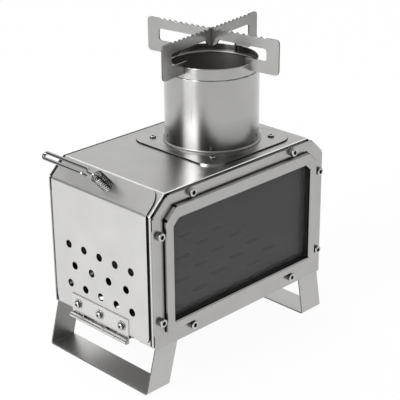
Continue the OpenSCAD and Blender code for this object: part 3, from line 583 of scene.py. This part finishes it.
def window_bezel():
    """A raised tray: loops run from the flange behind the frame up the outer wall, over the
    face, down the inner wall to the glass, and back underneath. The flange's corners have round
    notches, and the painted shade on both walls ends on loops of their own."""
    face, fold, glass, flange, seat = -3.6, 1.2, 3.0, 2.2, 1.2
    outer_line, inner_line, notch = -1.3, -0.9, 1.35
    over = arc(fold, face + fold, fold, 180, 270, 4)
    under = arc(fold + 0.9, face + fold, fold - SHEET + 0.1, 270, 180, 4)
    outer_wall = [[-2, flange], [-2, seat], [0, seat], [0, outer_line], *over]
    inner_wall = [*over[::-1], [0, inner_line], [0, glass], [SHEET, glass], *under[::-1]]
    back = [[SHEET + 0.3, face + SHEET], [SHEET, face + fold], [SHEET, flange]]
    loops = [at_level(bezel_loop(inset), y) for inset, y in outer_wall]
    loops += [at_level(opening_loop(outset), y) for outset, y in inner_wall]
    loops += [at_level(bezel_loop(inset), y) for inset, y in back]
    corners = outline(*BEZEL)[UPPER_CORNERS]
    cuts = [rod((x, -4, z), (x, 3, z), notch, 24) for x, z in corners]

    # Painted shade: the opening's inner walls are dark grey down to the glass.
    def inner_walls(middles, normals):
        reach, z = np.abs(middles[:, 0] - LENGTH / 2), middles[:, 2]
        side, bottom, top = OPENING[:3] - 0.2
        inside = (reach < LENGTH / 2 - side) & (z > bottom) & (z < HEIGHT - top)
        return inside & (np.abs(normals @ ACROSS) < 0.75)

    # Painted shade: the outer walls at the rear end, the lower parts of the outer walls at the
    # door end and bottom, the walls round the notches and the inner walls nearest the face are
    # near black.
    def shaded_walls(middles, normals):
        x, y, z = middles.T
        side, bottom = BEZEL[:2] + 0.5
        outer = (x > LENGTH - side) | (((x < side) | (z < bottom)) & (y > outer_line))
        nearest = off_axis(middles, corners, [0, 2])
        outer = (outer | (nearest < notch + 0.25)) & (np.abs(normals @ ACROSS) < 0.75)
        return outer | (inner_walls(middles, normals) & (y < inner_line))

    # Painted shade: the top wall and its fold take the shaded steel.
    def upper_wall(middles, normals):
        return (middles[:, 2] > HEIGHT - BEZEL[2] - 3) & (normals[:, 2] > 0.35)

    piece("window_bezel", "stove", plate_steel, [skin(loops, ring=True)], cuts,
          others=[(shaded_steel, upper_wall), (dark_edge_and_shade_steel, inner_walls), (black_edge_and_shadow_steel, shaded_walls)])


# ---------- fasteners ----------

def screw_head(radius, height, dome, across_flats, depth):
    """A round head with a hexagon socket, from the socket's floor up its wall, over the top and
    down the rim. A hexagon's radius at an angle is half its width over the cosine of the angle
    from the middle of the nearest side."""
    angle = all_round(36)
    hexagon = across_flats / 2 / np.cos((angle + pi / 6) % (pi / 3) - pi / 6)
    mouth, foot = 0.2, 0.15
    bend = np.radians(np.linspace(90, 0, 6))
    rim_radii = [hexagon.max() + mouth, *(radius - dome + dome * np.cos(bend)), radius,
                 radius - foot]
    radii = np.array([hexagon, hexagon] + [0 * angle + r for r in rim_radii])
    levels = np.array([height - depth, height - mouth, height,
                       *(height - dome + dome * np.sin(bend)), foot, 0.0])
    return skin(round_loops(radii, levels[:, None], angle))


def thread(radius, start, end, pitch, depth):
    """A threaded shank: the radius falls and rises as a cosine of the height in pitches less
    the angle in turns, and tapers at the end."""
    levels_a_pitch, taper, taper_run = 6, 0.4, 0.6
    angle = all_round(16)
    count = int(abs(end - start) / pitch * levels_a_pitch) + 2
    height = np.linspace(start, end, count)[:, None]
    radius = radius - depth + depth * np.cos(2 * pi * height / pitch - angle)
    radius = radius - taper * np.clip(1 - np.abs(height - end) / taper_run, 0, 1)
    return skin(round_loops(radius, height, angle))


def washer(radius, hole, thick):
    edge = arc(radius - 0.18, thick - 0.18, 0.18, 0, 90, 3)
    return turned([[hole, 0], [radius - 0.1, 0], [radius, 0.1], *edge, [hole, thick]], 48)


def at_each(spots, parts, axes):
    return [place(part, spot, axes) for spot in spots for part in parts]


def off_axis(middles, spots, plane):
    """How far each face lies from the nearest of the given screw axes."""
    return np.min([np.linalg.norm(middles[:, plane] - spot, axis=1) for spot in spots], axis=0)


def window_bolts():
    """Cap screws on flat washers: a knurled head with a rounded brim and a hexagon socket."""
    height = 3.9
    parts = [washer(3.5, 1.9, 0.7), screw_head(3.4, height, 0.6, 3.0, 2.2),
             thread(2.0, 0.3, -8.7, 0.7, 0.12)]

    # Painted shade in the sockets.
    def sockets(middles, normals):
        y, away = middles[:, 1], off_axis(middles, WINDOW_BOLTS, [0, 2])
        return (away < 1.75) & (y > 0.02 - height) & (y < 0)

    # Painted shade on the heads' knurled sides.
    def shaded_knurls(middles, normals):
        side = (np.abs(normals @ ACROSS) < 0.5) & (middles[:, 1] > 0.7 - height)
        return side & (off_axis(middles, WINDOW_BOLTS, [0, 2]) > 2.9)

    piece("window_bolts", "stove", fastener_steel,
          at_each(at_level(WINDOW_BOLTS, 0), parts, (ALONG, UP, -ACROSS)),
          others=[(recess_shade_steel, sockets), (shaded_knurl_steel, shaded_knurls)])


def hinge_screws():
    head_x, washer_x = -2.8, -2.3
    axes = (ACROSS, UP, -ALONG)
    shapes = at_each(at_level(HINGE_SCREWS, washer_x, 0),
                     [washer(4.5, 1.6, 0.5), thread(1.5, 0.3, -3.8, 0.5, 0.08)], axes)
    shapes += at_each(at_level(HINGE_SCREWS, head_x, 0),
                      [screw_head(3.2, 2.0, 1.4, 2.0, 1.1)], axes)

    # Painted shade on the rims of the washers and heads and in the sockets.
    def shaded_rings(middles, normals):
        x, away = middles[:, 0], off_axis(middles, HINGE_SCREWS, [1, 2])
        rims = (np.abs(normals[:, 0]) < 0.6) & (away > 2.8)
        return rims | ((away < 1.3) & (x > -4.75) & (x < head_x))

    piece("hinge_screws", "door", fastener_steel, shapes,
          others=[(recess_shade_steel, shaded_rings)])


def flue_base_screws():
    parts = [screw_head(2.8, 1.6, 1.1, 2.0, 0.9), thread(1.5, 0.2, -4.4, 0.5, 0.08)]

    # Painted shade in the sockets and on the heads' brims.
    def sockets_and_brims(middles, normals):
        z = middles[:, 2] - BASE_TOP
        away = off_axis(middles, BASE_SCREWS[:, :2], [0, 1])
        return ((away < 1.3) & (z < 1.58) & (z > 0.1)) | ((away > 2.6) & (z > 0))

    piece("flue_base_screws", "stove", fastener_steel,
          at_each(BASE_SCREWS + [0, 0, BASE_TOP], parts, (ALONG, ACROSS, UP)),
          others=[(recess_shade_steel, sockets_and_brims)])


# ---------- door ----------

def door_panel():
    """The door's sheet: a thin section with rounded edges carried up the front, round the
    crease and up the flap. Its width at a height is the full width less what a circle of the
    corner's radius leaves free."""
    gap, bottom, flap, edge = 0.3, 2.5, SLOPE - 1, 0.3
    y0, y1, low_r, high_r, bend = 6.3, 120.5, 7.0, 9.0, 3.8
    out = gap + SHEET
    crease = CREASE + out * (SLOPE - CHAMFER_Z) / CHAMFER_X
    up, off = UP_SLOPE[[0, 2]], OFF_SLOPE[[0, 2]]
    end = [0, CREASE] + up * flap + off * out
    turn = pi / 2 - np.arctan2(CHAMFER_Z, CHAMFER_X)
    around = circle(np.linspace(pi, pi - turn, 10))
    curve = [bend - out, crease - bend * np.tan(turn / 2)] + bend * around
    quarter = np.radians(np.linspace(0, 90, 12))
    start_z = np.concatenate([[0, 0.1, 0.3], low_r * (1 - np.cos(quarter[2:]))]) + bottom
    front = np.stack([0 * start_z - out, start_z], 1)
    end_s = np.concatenate([high_r * (1 - np.cos(quarter[:1:-1])), [0.2, 0.07, 0]]) / up[1]
    top = end - end_s[:, None] * up
    line = np.concatenate([front, curve, top])
    normal = np.concatenate([[[-1.0, 0]] * len(front), around, [off] * len(top)])
    z = line[:, 1]
    low = np.clip(low_r - (z - bottom), 0, low_r)
    high = np.clip(high_r - (end[1] - z), 0, high_r)
    inset = low_r - np.sqrt(low_r ** 2 - low ** 2) + high_r - np.sqrt(high_r ** 2 - high ** 2)
    run = np.concatenate([[0], np.cumsum(np.linalg.norm(np.diff(line, axis=0), axis=1))])
    past = np.clip(edge - np.minimum(run, run[-1] - run), 0, edge)
    thin = edge - np.sqrt(np.clip(edge ** 2 - past ** 2, 0, None))
    loops = []
    for (x, height), (nx, nz), i, t in zip(line, normal, inset, thin):
        y, depth = rounded(oblong(y0 + i, y1 - i, t, SHEET - t), max(0.45 - 1.5 * t, 0.02),
                           steps=4).T
        loops.append(np.stack([x - nx * depth, y, height - nz * depth], 1))
    vents = [(WIDTH / 2 + 1 + (k - (count - 1) / 2) * pitch, height)
             for height, count, pitch in VENT_ROWS for k in range(count)]
    cuts = [rod((-4, y, z), (2, y, z), 3.5) for y, z in vents]
    cuts.append(rod(STEM - 3 * OFF_SLOPE, STEM + 6 * OFF_SLOPE, 1.5, 32))

    # The door's edges are near black: dark cut edges, with painted shadow for the gap round the
    # door.
    def edges(middles, normals):
        return np.abs(normals @ ACROSS) > 0.3

    # Painted shade: a dark band over the middle of the crease's bend.
    def crease_line(middles, normals):
        return (normals[:, 0] < -0.79) & (normals[:, 0] > -0.98) & (normals[:, 2] > 0.1)

    piece("door_panel", "door", door_steel, [skin(loops)], cuts, bevel=0.2,
          others=[(crease_shade_steel, crease_line), (black_edge_and_shadow_steel, edges)])


def hinge_leaves():
    """Each leaf is a sheet rolled round the pin from one angle to another: a strip's outline
    carried along the hinge, with gaps cut where the other leaf's knuckles are, up to gap_x and
    gap_z."""
    x, z = HINGE_AXIS
    y0, y1 = HINGE_Y
    outer, inner, play, door_top, body_tip = 2.4, 1.4, 0.15, 17.0, 11.0
    knuckles = np.linspace(y0, y1, 6)

    def leaf(name, body, tips, angles, ends, first_gap, gap_x, gap_z):
        start, end = angles
        profile = [tips[0], *arc(x, z, outer, start, end, 30),
                   *arc(x, z, inner, end, start, 30), tips[1]]
        gaps = [box((-7, knuckles[k] - play, -6), (gap_x, knuckles[k + 1] + play, gap_z))
                for k in range(first_gap, 5, 2)]
        strip = skin([at_level(profile, y) for y in ends])
        piece(name, body, hinge_steel, [strip], gaps, bevel=0.18)

    leaf("hinge_door_leaf", "door", ([x + outer, door_top], [x + inner, door_top]), (0, -290),
         (y0 + play, y1 - play), 1, 0, 1.44)
    leaf("hinge_body_leaf", "stove", ([body_tip, z + outer], [body_tip, z + inner]), (90, 380),
         (y0, y1), 0, -1.0, 1)


# ---------- handle ----------

def wire_line(start, axes, moves):
    """Centre line of a bent wire with its cross axes. A move is a straight run (length) or a
    bend (radius, angle, roll) towards the side at angle roll: the line goes round the bend's
    centre and the cross axes turn with it."""
    steps = 12
    line, frames = [np.array([start])], [np.array([axes])]
    for move in moves:
        here, (side, other, ahead) = line[-1][-1], frames[-1][-1]
        if len(move) == 1:
            line.append((here + move[0] * ahead)[None])
            frames.append(frames[-1][-1:])
            continue
        radius, angle, roll = move[0], *np.radians(move[1:])
        towards = cos(roll) * side + sin(roll) * other
        axis = np.cross(ahead, towards)
        turn = (angle * np.arange(1, steps + 1) / steps)[:, None]
        line.append(here + radius * ((1 - np.cos(turn)) * towards + np.sin(turn) * ahead))
        frames.append(np.stack([v * np.cos(turn) + np.cross(axis, v) * np.sin(turn)
                                + axis * (axis @ v) * (1 - np.cos(turn))
                                for v in (side, other, ahead)], 1))
    return np.concatenate(line), np.concatenate(frames)


def domed(line, frames, radius):
    """Rounds a wire's far end: stations along the last point's heading shrink as a circle."""
    lift = np.radians([30, 60, 80])
    tip = line[-1] + 0.6 * radius * np.sin(lift)[:, None] * frames[-1, 2]
    radii = np.concatenate([np.full(len(line), radius), radius * np.cos(lift)])
    frames = np.concatenate([frames, np.repeat(frames[-1:], len(lift), 0)])
    return np.concatenate([line, tip]), frames, radii


def handle():
    """One wire: the stem stands on the door's flap, and the loop's two strands run to the far
    side and back. A collar closes the hole round the stem."""
    radius, gap, bend, crank, reach = 1.4, 5.2, 3.2, 4.0, 63.0
    below, stem, neck, back_run, tip_run = 5.4, 22.0, 3.0, 45.2, 1.7
    angle = np.degrees(np.arccos(1 - gap / 2 / (2 * crank)))
    crank_run = 2 * crank * sin(radians(angle))
    out_run = reach - bend - neck - crank_run - gap / 2
    moves = [(stem,), (bend, 90, 90), (neck,), (crank, angle, 0), (crank, angle, 180),
             (out_run,), (gap / 2, 180, 180), (back_run,), (bend, 60, 90), (tip_run,)]
    line, frames, radii = domed(*wire_line(STEM - below * OFF_SLOPE, SLOPE_AXES, moves), radius)
    collar = turned([[radius, -1.5], [2.8, -1.5], [3.0, -1.3], *arc(2.8, 0.0, 0.2, 0, 90, 3),
                     [radius, 0.2]], 40)
    shapes = [swept(line, frames[:, 0], frames[:, 1], radii, 28), place(collar, STEM, SLOPE_AXES)]

    # Painted shade on the stem inside the coil.
    def inside_coil(middles, normals):
        along = (middles - STEM) @ OFF_SLOPE
        across = np.linalg.norm(middles - STEM - along[:, None] * OFF_SLOPE, axis=1)
        return (across < 2) & (along > 0.3) & (along < 18)

    piece("handle", "handle", wire_steel, shapes, others=[(recess_shade_steel, inside_coil)])


def handle_spring():
    """A helix: its point at a turn lies on a circle, and its height rises slowly in the first
    and last turn, where the coil lies closed, and evenly between."""
    turns, radius, wire, low, high = 8, 4.9, 0.4, 1.9, 17.8
    t = np.linspace(0, 1, turns * 28 + 1)
    pace = 0.55 + 0.45 * np.clip(np.minimum(t, 1 - t) * turns - 0.4, 0, 1)
    rise = np.concatenate([[0], np.cumsum((pace[1:] + pace[:-1]) / 2)])
    height = low + (high - low) * rise / rise[-1]
    radial = at_level(circle(2 * pi * turns * t), 0, 2)
    local = radius * radial + height[:, None] * UP
    other = unit(np.cross(np.gradient(local, axis=0), radial))
    shape = swept(STEM + local @ SLOPE_AXES, radial @ SLOPE_AXES, other @ SLOPE_AXES, wire, 12)

    # Painted shade: the coil's inward faces and its side turned up towards the rear and the window
    # side are near black.
    def shaded_side(middles, normals):
        away = middles - STEM
        outwards = away - (away @ OFF_SLOPE)[:, None] * OFF_SLOPE
        inner = (unit(outwards) * normals).sum(1) < 0.1
        return inner | (away @ unit(np.array([0.99, -0.43, 0.92])) > 0.3)

    piece("handle_spring", "door", spring_steel, [shape],
          others=[(black_edge_and_shadow_steel, shaded_side)])


# ---------- legs ----------

def strap_leg(name, lean, at_rear):
    """A strap bent into a U: a thin section with rounded edges carried down one upright, along
    the foot and up the other. Its ends are round ears at the pivots, and its place along the
    body leans out with depth."""
    height, width, thick, bend, top, inset = 38.0, 24.5, 1.2, 2.5, 2.0, 1.5
    pivot_x, pivot_z, ear = 22.4, 3.6, 3.6
    near, far = 1.5, WIDTH - 1.5
    lift = np.radians(np.linspace(85, 0, 8))
    down_z = np.concatenate([pivot_z + ear * np.sin(lift), [top + 0.01, top, 0.0]])
    ear_half = np.concatenate([ear * np.cos(lift), [ear]])
    around = arc(0, 0, 1, 180, 270, 9)
    half_line = np.concatenate([np.stack([np.full(len(down_z), near), down_z], 1),
                                [near + bend, bend - height] + bend * around])
    half_in = np.concatenate([[[1.0, 0]] * len(down_z), -around])
    shift = -lean * (top - np.minimum(half_line[:, 1], top)) / (top + height)
    straight = np.full(len(around) + 2, inset)
    lefts = np.concatenate([pivot_x - ear_half, straight]) + shift
    rights = np.concatenate([pivot_x + ear_half, straight + width]) + shift
    mirror = [-1, 1]
    line = np.concatenate([half_line, (half_line * mirror + [near + far, 0])[::-1]])
    inwards = np.concatenate([half_in, (half_in * mirror)[::-1]])
    lefts, rights = (np.concatenate([v, v[::-1]]) for v in (lefts, rights))
    loops = []
    for (y, z), (ny, nz), a, b in zip(line, inwards, lefts, rights):
        x, depth = rounded(oblong(a, b, 0, thick), 0.25, steps=3).T
        loops.append(np.stack([LENGTH - x if at_rear else x, y + ny * depth, z + nz * depth], 1))

    def edges(middles, normals):
        return np.abs(normals[:, 0]) > 0.7

    # Painted shade on the uprights' inner sides, which face the shaded space under the body.
    def inner_sides(middles, normals):
        return normals[:, 1] * np.sign(middles[:, 1] - WIDTH / 2) < -0.7

    def front_foot(middles, normals):
        x, z = middles[:, 0], middles[:, 2]
        return (normals[:, 2] > 0.9) & (z < bend - height) & (x < LENGTH / 2)

    piece(name, name, leg_steel, [skin(loops)],
          others=[(dark_edge_and_shade_steel, edges), (leg_inner_shade_steel, inner_sides), (door_steel, front_foot)])


# ---------- flue ----------

def flue_base_plate():
    half, corner = 51, 18
    outer = rounded(oblong(-half, half, -half, half), corner, steps=23)
    first = np.arctan2(outer[0, 1], outer[0, 0])
    hole = FLUE_HOLE * circle(first + 2 * pi * np.arange(len(outer)) / len(outer))

    # The rim is near black: a dark cut edge, with painted shadow under the plate's edge.
    def rims(middles, normals):
        return np.abs(normals[:, 2]) < 0.75

    # Painted glint on the rim where it faces the door end and the window side.
    def near_corner_glint(middles, normals):
        return normals[:, 0] + normals[:, 1] < -1.2

    piece("flue_base_plate", "stove", folded_steel,
          [at_flue(plate(outer, 0, BASE_TOP - HEIGHT, 0.3, hole), HEIGHT)],
          others=[(black_edge_and_shadow_steel, rims), (painted_highlight_steel, near_corner_glint)])


def flue_collar():
    """A welded tube: wall, rolled lip and flared foot as one profile, with the weld seam a low
    ridge, a bell curve of the angle from the seam."""
    r, wall, foot, brim, flare = 40.0, 0.8, 41.8, BASE_TOP + 0.8, 1.8
    profile = [[r - wall, BASE_TOP], [foot, BASE_TOP], [foot, brim],
               *arc(foot, brim + flare, flare, 270, 180, 6)[1:],
               *[[r, z] for z in np.linspace(BASE_TOP + 4, COLLAR_TOP - 2, 12)],
               *arc(r - wall / 2, COLLAR_TOP - wall / 2, wall / 2, 0, 180, 8),
               [r - wall, BASE_TOP + 20]]

    def seam(angle, height):
        outside = (height > BASE_TOP + 1) & (height < COLLAR_TOP - 0.5)
        gap = (angle - radians(SEAM_ANGLE) + pi) % (2 * pi) - pi
        return -0.12 * np.exp(-(gap * r / 0.9) ** 2) * outside

    def low_down(middles, normals):
        return middles[:, 2] < BASE_TOP + 2

    piece("flue_collar", "stove", flue_steel, [at_flue(turned(profile, 240, seam))],
          others=[(shaded_steel, low_down)])


def slotted_ring():
    r, wall, foot = 39.1, 0.8, 178.5
    profile = [[r - wall, foot], [r, foot],
               *arc(r - wall / 2, RING_TOP - wall / 2, wall / 2, 0, 180, 6)]
    slot = box((-45, -1.05, 0), (45, 1.05, 10))
    cuts = [place(slot, FLUE + [0, 0, STAND_FOOT], (along, np.cross(UP, along), UP))
            for along in (heading(UPPER_ANGLE), heading(LOWER_ANGLE))]
    piece("slotted_ring", "stove", flue_steel, [at_flue(turned(profile, 192))], cuts)


def flue_liner():
    r, wall, top, bead_r = 38.2, 0.8, 195.0, 1.1
    bead = arc(r - bead_r, top, bead_r, -180, 180, 24)[:-1]
    tube = [[r - wall, BASE_TOP], [r, BASE_TOP], [r, top], [r - wall, top]]
    piece("flue_liner", "stove", inner_steel,
          [at_flue(turned(profile, 96)) for profile in (tube, bead)])


# ---------- cross stand ----------

def stand_outline(slot_above):
    """Half a cross plate from its side, then its mirror image: notched top edge, end upright,
    lower bar, round-cornered window, bulge under the crossing and the lap slot."""
    top, half, corner, count, pitch, notch, depth = 29.5, 67.0, 3.5, 9, 5.8, 2.6, 1.3
    slot, lap, play = 0.9, 22.0, 0.15
    bulge_low, bulge_r = 14.5, 8.07
    window_end, window_low, window_high, window_r = 52.5, 12.5, 18.0, 2.5
    bar_end, bar_r = 35.3, 0.8
    bar_high = window_low - window_r - bar_r
    open_angle = np.degrees(np.arccos((notch - depth) / notch))
    dip = arc(0, top + notch - depth, notch, 270 - open_angle, 270 + open_angle, 8)
    notches = [dip + [k * pitch, 0] for k in range(1, count + 1)]
    heart = bulge_low + bulge_r
    start = np.degrees(np.arcsin((window_high + window_r - heart) / bulge_r))
    if slot_above:
        end, high_start, low_end = -90, [[slot, lap - play], [slot, top]], []
    else:
        end = -np.degrees(np.arccos(slot / bulge_r))
        high_start, low_end = [[0, top]], [[slot, lap + play]]
    right = np.array([*high_start, *np.concatenate(notches),
                      *arc(half - corner, top - corner, corner, 90, 0),
                      *arc(half - corner, corner, corner, 0, -90),
                      *arc(bar_end, bar_r, bar_r, 270, 180, 3),
                      *arc(bar_end, bar_high, bar_r, 180, 90, 3),
                      *arc(window_end, window_low, window_r, -90, 0),
                      *arc(window_end, window_high, window_r, 0, 90),
                      *arc(0, heart, bulge_r, start, end, 14), *low_end])
    left = (right * [-1, 1])[::-1]
    on_axis = np.abs(left[:, 0]) < 1e-6
    return np.concatenate([right, left[~on_axis]])[::-1]


def cross_plate(name, body, angle, slot_above):
    along = heading(angle)
    out = np.cross(along, UP)

    def faces(middles, normals):
        return np.abs(normals @ out) < 0.7

    flat = plate(stand_outline(slot_above), -0.75, 0.75, 0.15)
    piece(name, body, stand_steel,
          [place(flat, FLUE + [0, 0, STAND_FOOT], (along, UP, out))],
          others=[(dark_edge_and_shade_steel, faces)])


# ---------- assembly ----------

body_shell()
window_frame()
window_bezel()
far_side_plate()
window_bolts()
hinge_screws()
flue_base_screws()
door_panel()
hinge_leaves()
handle()
handle_spring()
strap_leg("front_leg", 11.0, False)
strap_leg("rear_leg", 7.0, True)
flue_base_plate()
flue_collar()
slotted_ring()
flue_liner()
cross_plate("cross_lower", "stand_lower", LOWER_ANGLE, True)
cross_plate("cross_upper", "stand_upper", UPPER_ANGLE, False)

KEPT = {"floor_plate": dark_edge_and_shade_steel, "window_seat": inner_steel, "latch_tongue": inner_steel,
        "window_gasket": gasket_material(), "window_glass": glass_material()}
for name in ("window_nuts", "hinge_nuts", "hinge_rivets", "hinge_pin", "latch_nut",
             "leg_rivets", "flue_base_nuts"):
    KEPT[name] = fastener_steel
for name, finish in KEPT.items():
    coat(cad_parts[name].data, finish)


# Painted highlight: the grate's faces towards the window take the bright fastener steel.
def window_side_highlight(middles, normals):
    return normals[:, 1] < -0.9


coat(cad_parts["fire_grate"].data, grate_steel, [(fastener_steel, window_side_highlight)])


# ---------- studio ----------

# Each is the azimuth and height of its middle, the angles from there within which it is full and
# at which it ends, all in degrees, its strength, and how tall it is for its width.
PANELS = ((42, 14, 38, 62, 0.85), (171.5, 18, 17, 22, 5.2, 2.0), (250, 42, 6, 16, 1.2),
          (118, 55, 20, 42, 0.48), (78, 52, 8, 22, 1.0), (329, 42, 12, 25, 1.0),
          (0, 90, 20, 45, 0.5))
DARK_PATCHES = ((128, 8, 16, 34, 0.7), (298, 20, 4, 12, 0.25, 2.0))
EVEN_LIGHT = 0.06


def photo_camera():
    """Stands where the photograph was taken, turned by its yaw, pitch and roll."""
    yaw, pitch, roll = np.radians([44.90, 23.09, -0.52])
    ahead = Vector((sin(yaw) * cos(pitch), cos(yaw) * cos(pitch), -sin(pitch)))
    right = Vector((cos(yaw), -sin(yaw), 0))
    up = right.cross(ahead)
    right, up = cos(roll) * right + sin(roll) * up, cos(roll) * up - sin(roll) * right
    data = bpy.data.cameras.new("photo_camera")
    data.lens, data.sensor_width = 110.9, 36.0
    data.clip_start, data.clip_end = 0.01, 20
    camera = in_scene("photo_camera", data)
    turn = Matrix([right, up, -ahead]).transposed().to_4x4()
    camera.matrix_world = Matrix.Translation(Vector((-0.6731, -0.6905, 0.5304))) @ turn
    bpy.context.scene.camera = camera


def softbox(name, spot, aim, size, power):
    data = bpy.data.lights.new(name, "AREA")
    data.shape, data.size, data.size_y, data.energy = "RECTANGLE", *size, power
    lamp = in_scene(name, data)
    lamp.location = spot
    lamp.rotation_euler = (Vector(aim) - Vector(spot)).to_track_quat("-Z", "Y").to_euler()


def sums(tree, operation, values):
    """One number worked out of several: the operation carried along them in turn."""
    total = values[0]
    for value in values[1:]:
        total = node(tree, "Math", {0: total, 1: value}, operation=operation).outputs[0]
    return total


def seen_white(tree, *rays):
    """One for the rays that see the plain white backdrop."""
    path = node(tree, "LightPath")
    return sums(tree, "MAXIMUM", [path.outputs[ray] for ray in rays])


def panel(tree, azimuth, height, full, edge, strength, tall=1.0):
    """Soft light from round one direction: full within an angle of it and fading smoothly to
    nothing at its edge; a tall panel takes the heights flattened by that much."""
    turn, lift = radians(azimuth), radians(height)
    aim = Vector((cos(turn) * cos(lift), sin(turn) * cos(lift), sin(lift) / tall)).normalized()
    way = node(tree, "TexCoord").outputs["Generated"]
    for operation, inputs in (("MULTIPLY", {1: (1, 1, 1 / tall)}), ("NORMALIZE", {})):
        way = node(tree, "VectorMath", {0: way, **inputs}, operation=operation).outputs["Vector"]
    across = node(tree, "VectorMath", {0: way, 1: aim}, operation="DOT_PRODUCT")
    return spread(tree, across.outputs["Value"], 0, strength, cos(radians(edge)),
                  cos(radians(full)), "SMOOTHSTEP")


def mixed(tree, factor, first, second):
    """The output of two shaders mixed: the second where the factor is one."""
    return node(tree, "MixShader", {0: factor, 1: first.outputs[0],
                                    2: second.outputs[0]}).outputs[0]


def studio():
    """A white backdrop behind the stove and a strong tall panel to the left of the camera, with
    weaker ones all round and above. Two dark patches take light away: a wide one at the back
    left and a small one at the front right."""
    scene = bpy.context.scene
    scene.view_settings.view_transform = "Standard"
    scene.world, tree = bare(bpy.data.worlds.new("studio"))
    light = sums(tree, "ADD", [panel(tree, *one) for one in PANELS] + [EVEN_LIGHT])
    dark = sums(tree, "SUBTRACT", [1.0] + [panel(tree, *one) for one in DARK_PATCHES])
    white = (1, 1, 1, 1)
    room = node(tree, "Background", {"Color": white,
                                     "Strength": sums(tree, "MULTIPLY", [light, dark])})
    plain = node(tree, "Background", {"Color": white})
    seen = seen_white(tree, "Is Camera Ray", "Is Transmission Ray")
    node(tree, "OutputWorld", {"Surface": mixed(tree, seen, room, plain)})

    radius, sides = 1.4, 96
    mesh = bpy.data.meshes.new("floor")
    edge = at_level(radius * circle(all_round(sides)), 0, 2)
    mesh.from_pydata(edge.tolist(), [], [list(range(sides))])
    floor = in_scene("floor", mesh)
    paint, tree = bare(bpy.data.materials.new("floor"))
    matt = node(tree, "BsdfDiffuse", {"Color": (0.9, 0.9, 0.9, 1)})
    glow = node(tree, "Emission")
    seen = seen_white(tree, "Is Camera Ray", "Is Glossy Ray", "Is Transmission Ray")
    share = sums(tree, "MULTIPLY", [seen, 0.95])
    node(tree, "OutputMaterial", {"Surface": mixed(tree, share, matt, glow)})
    mesh.materials.append(paint)

    softbox("key", (-1.45, 0.1, 1.2), (0, 0, 0.1), (0.6, 0.6), 9)


studio()
photo_camera()
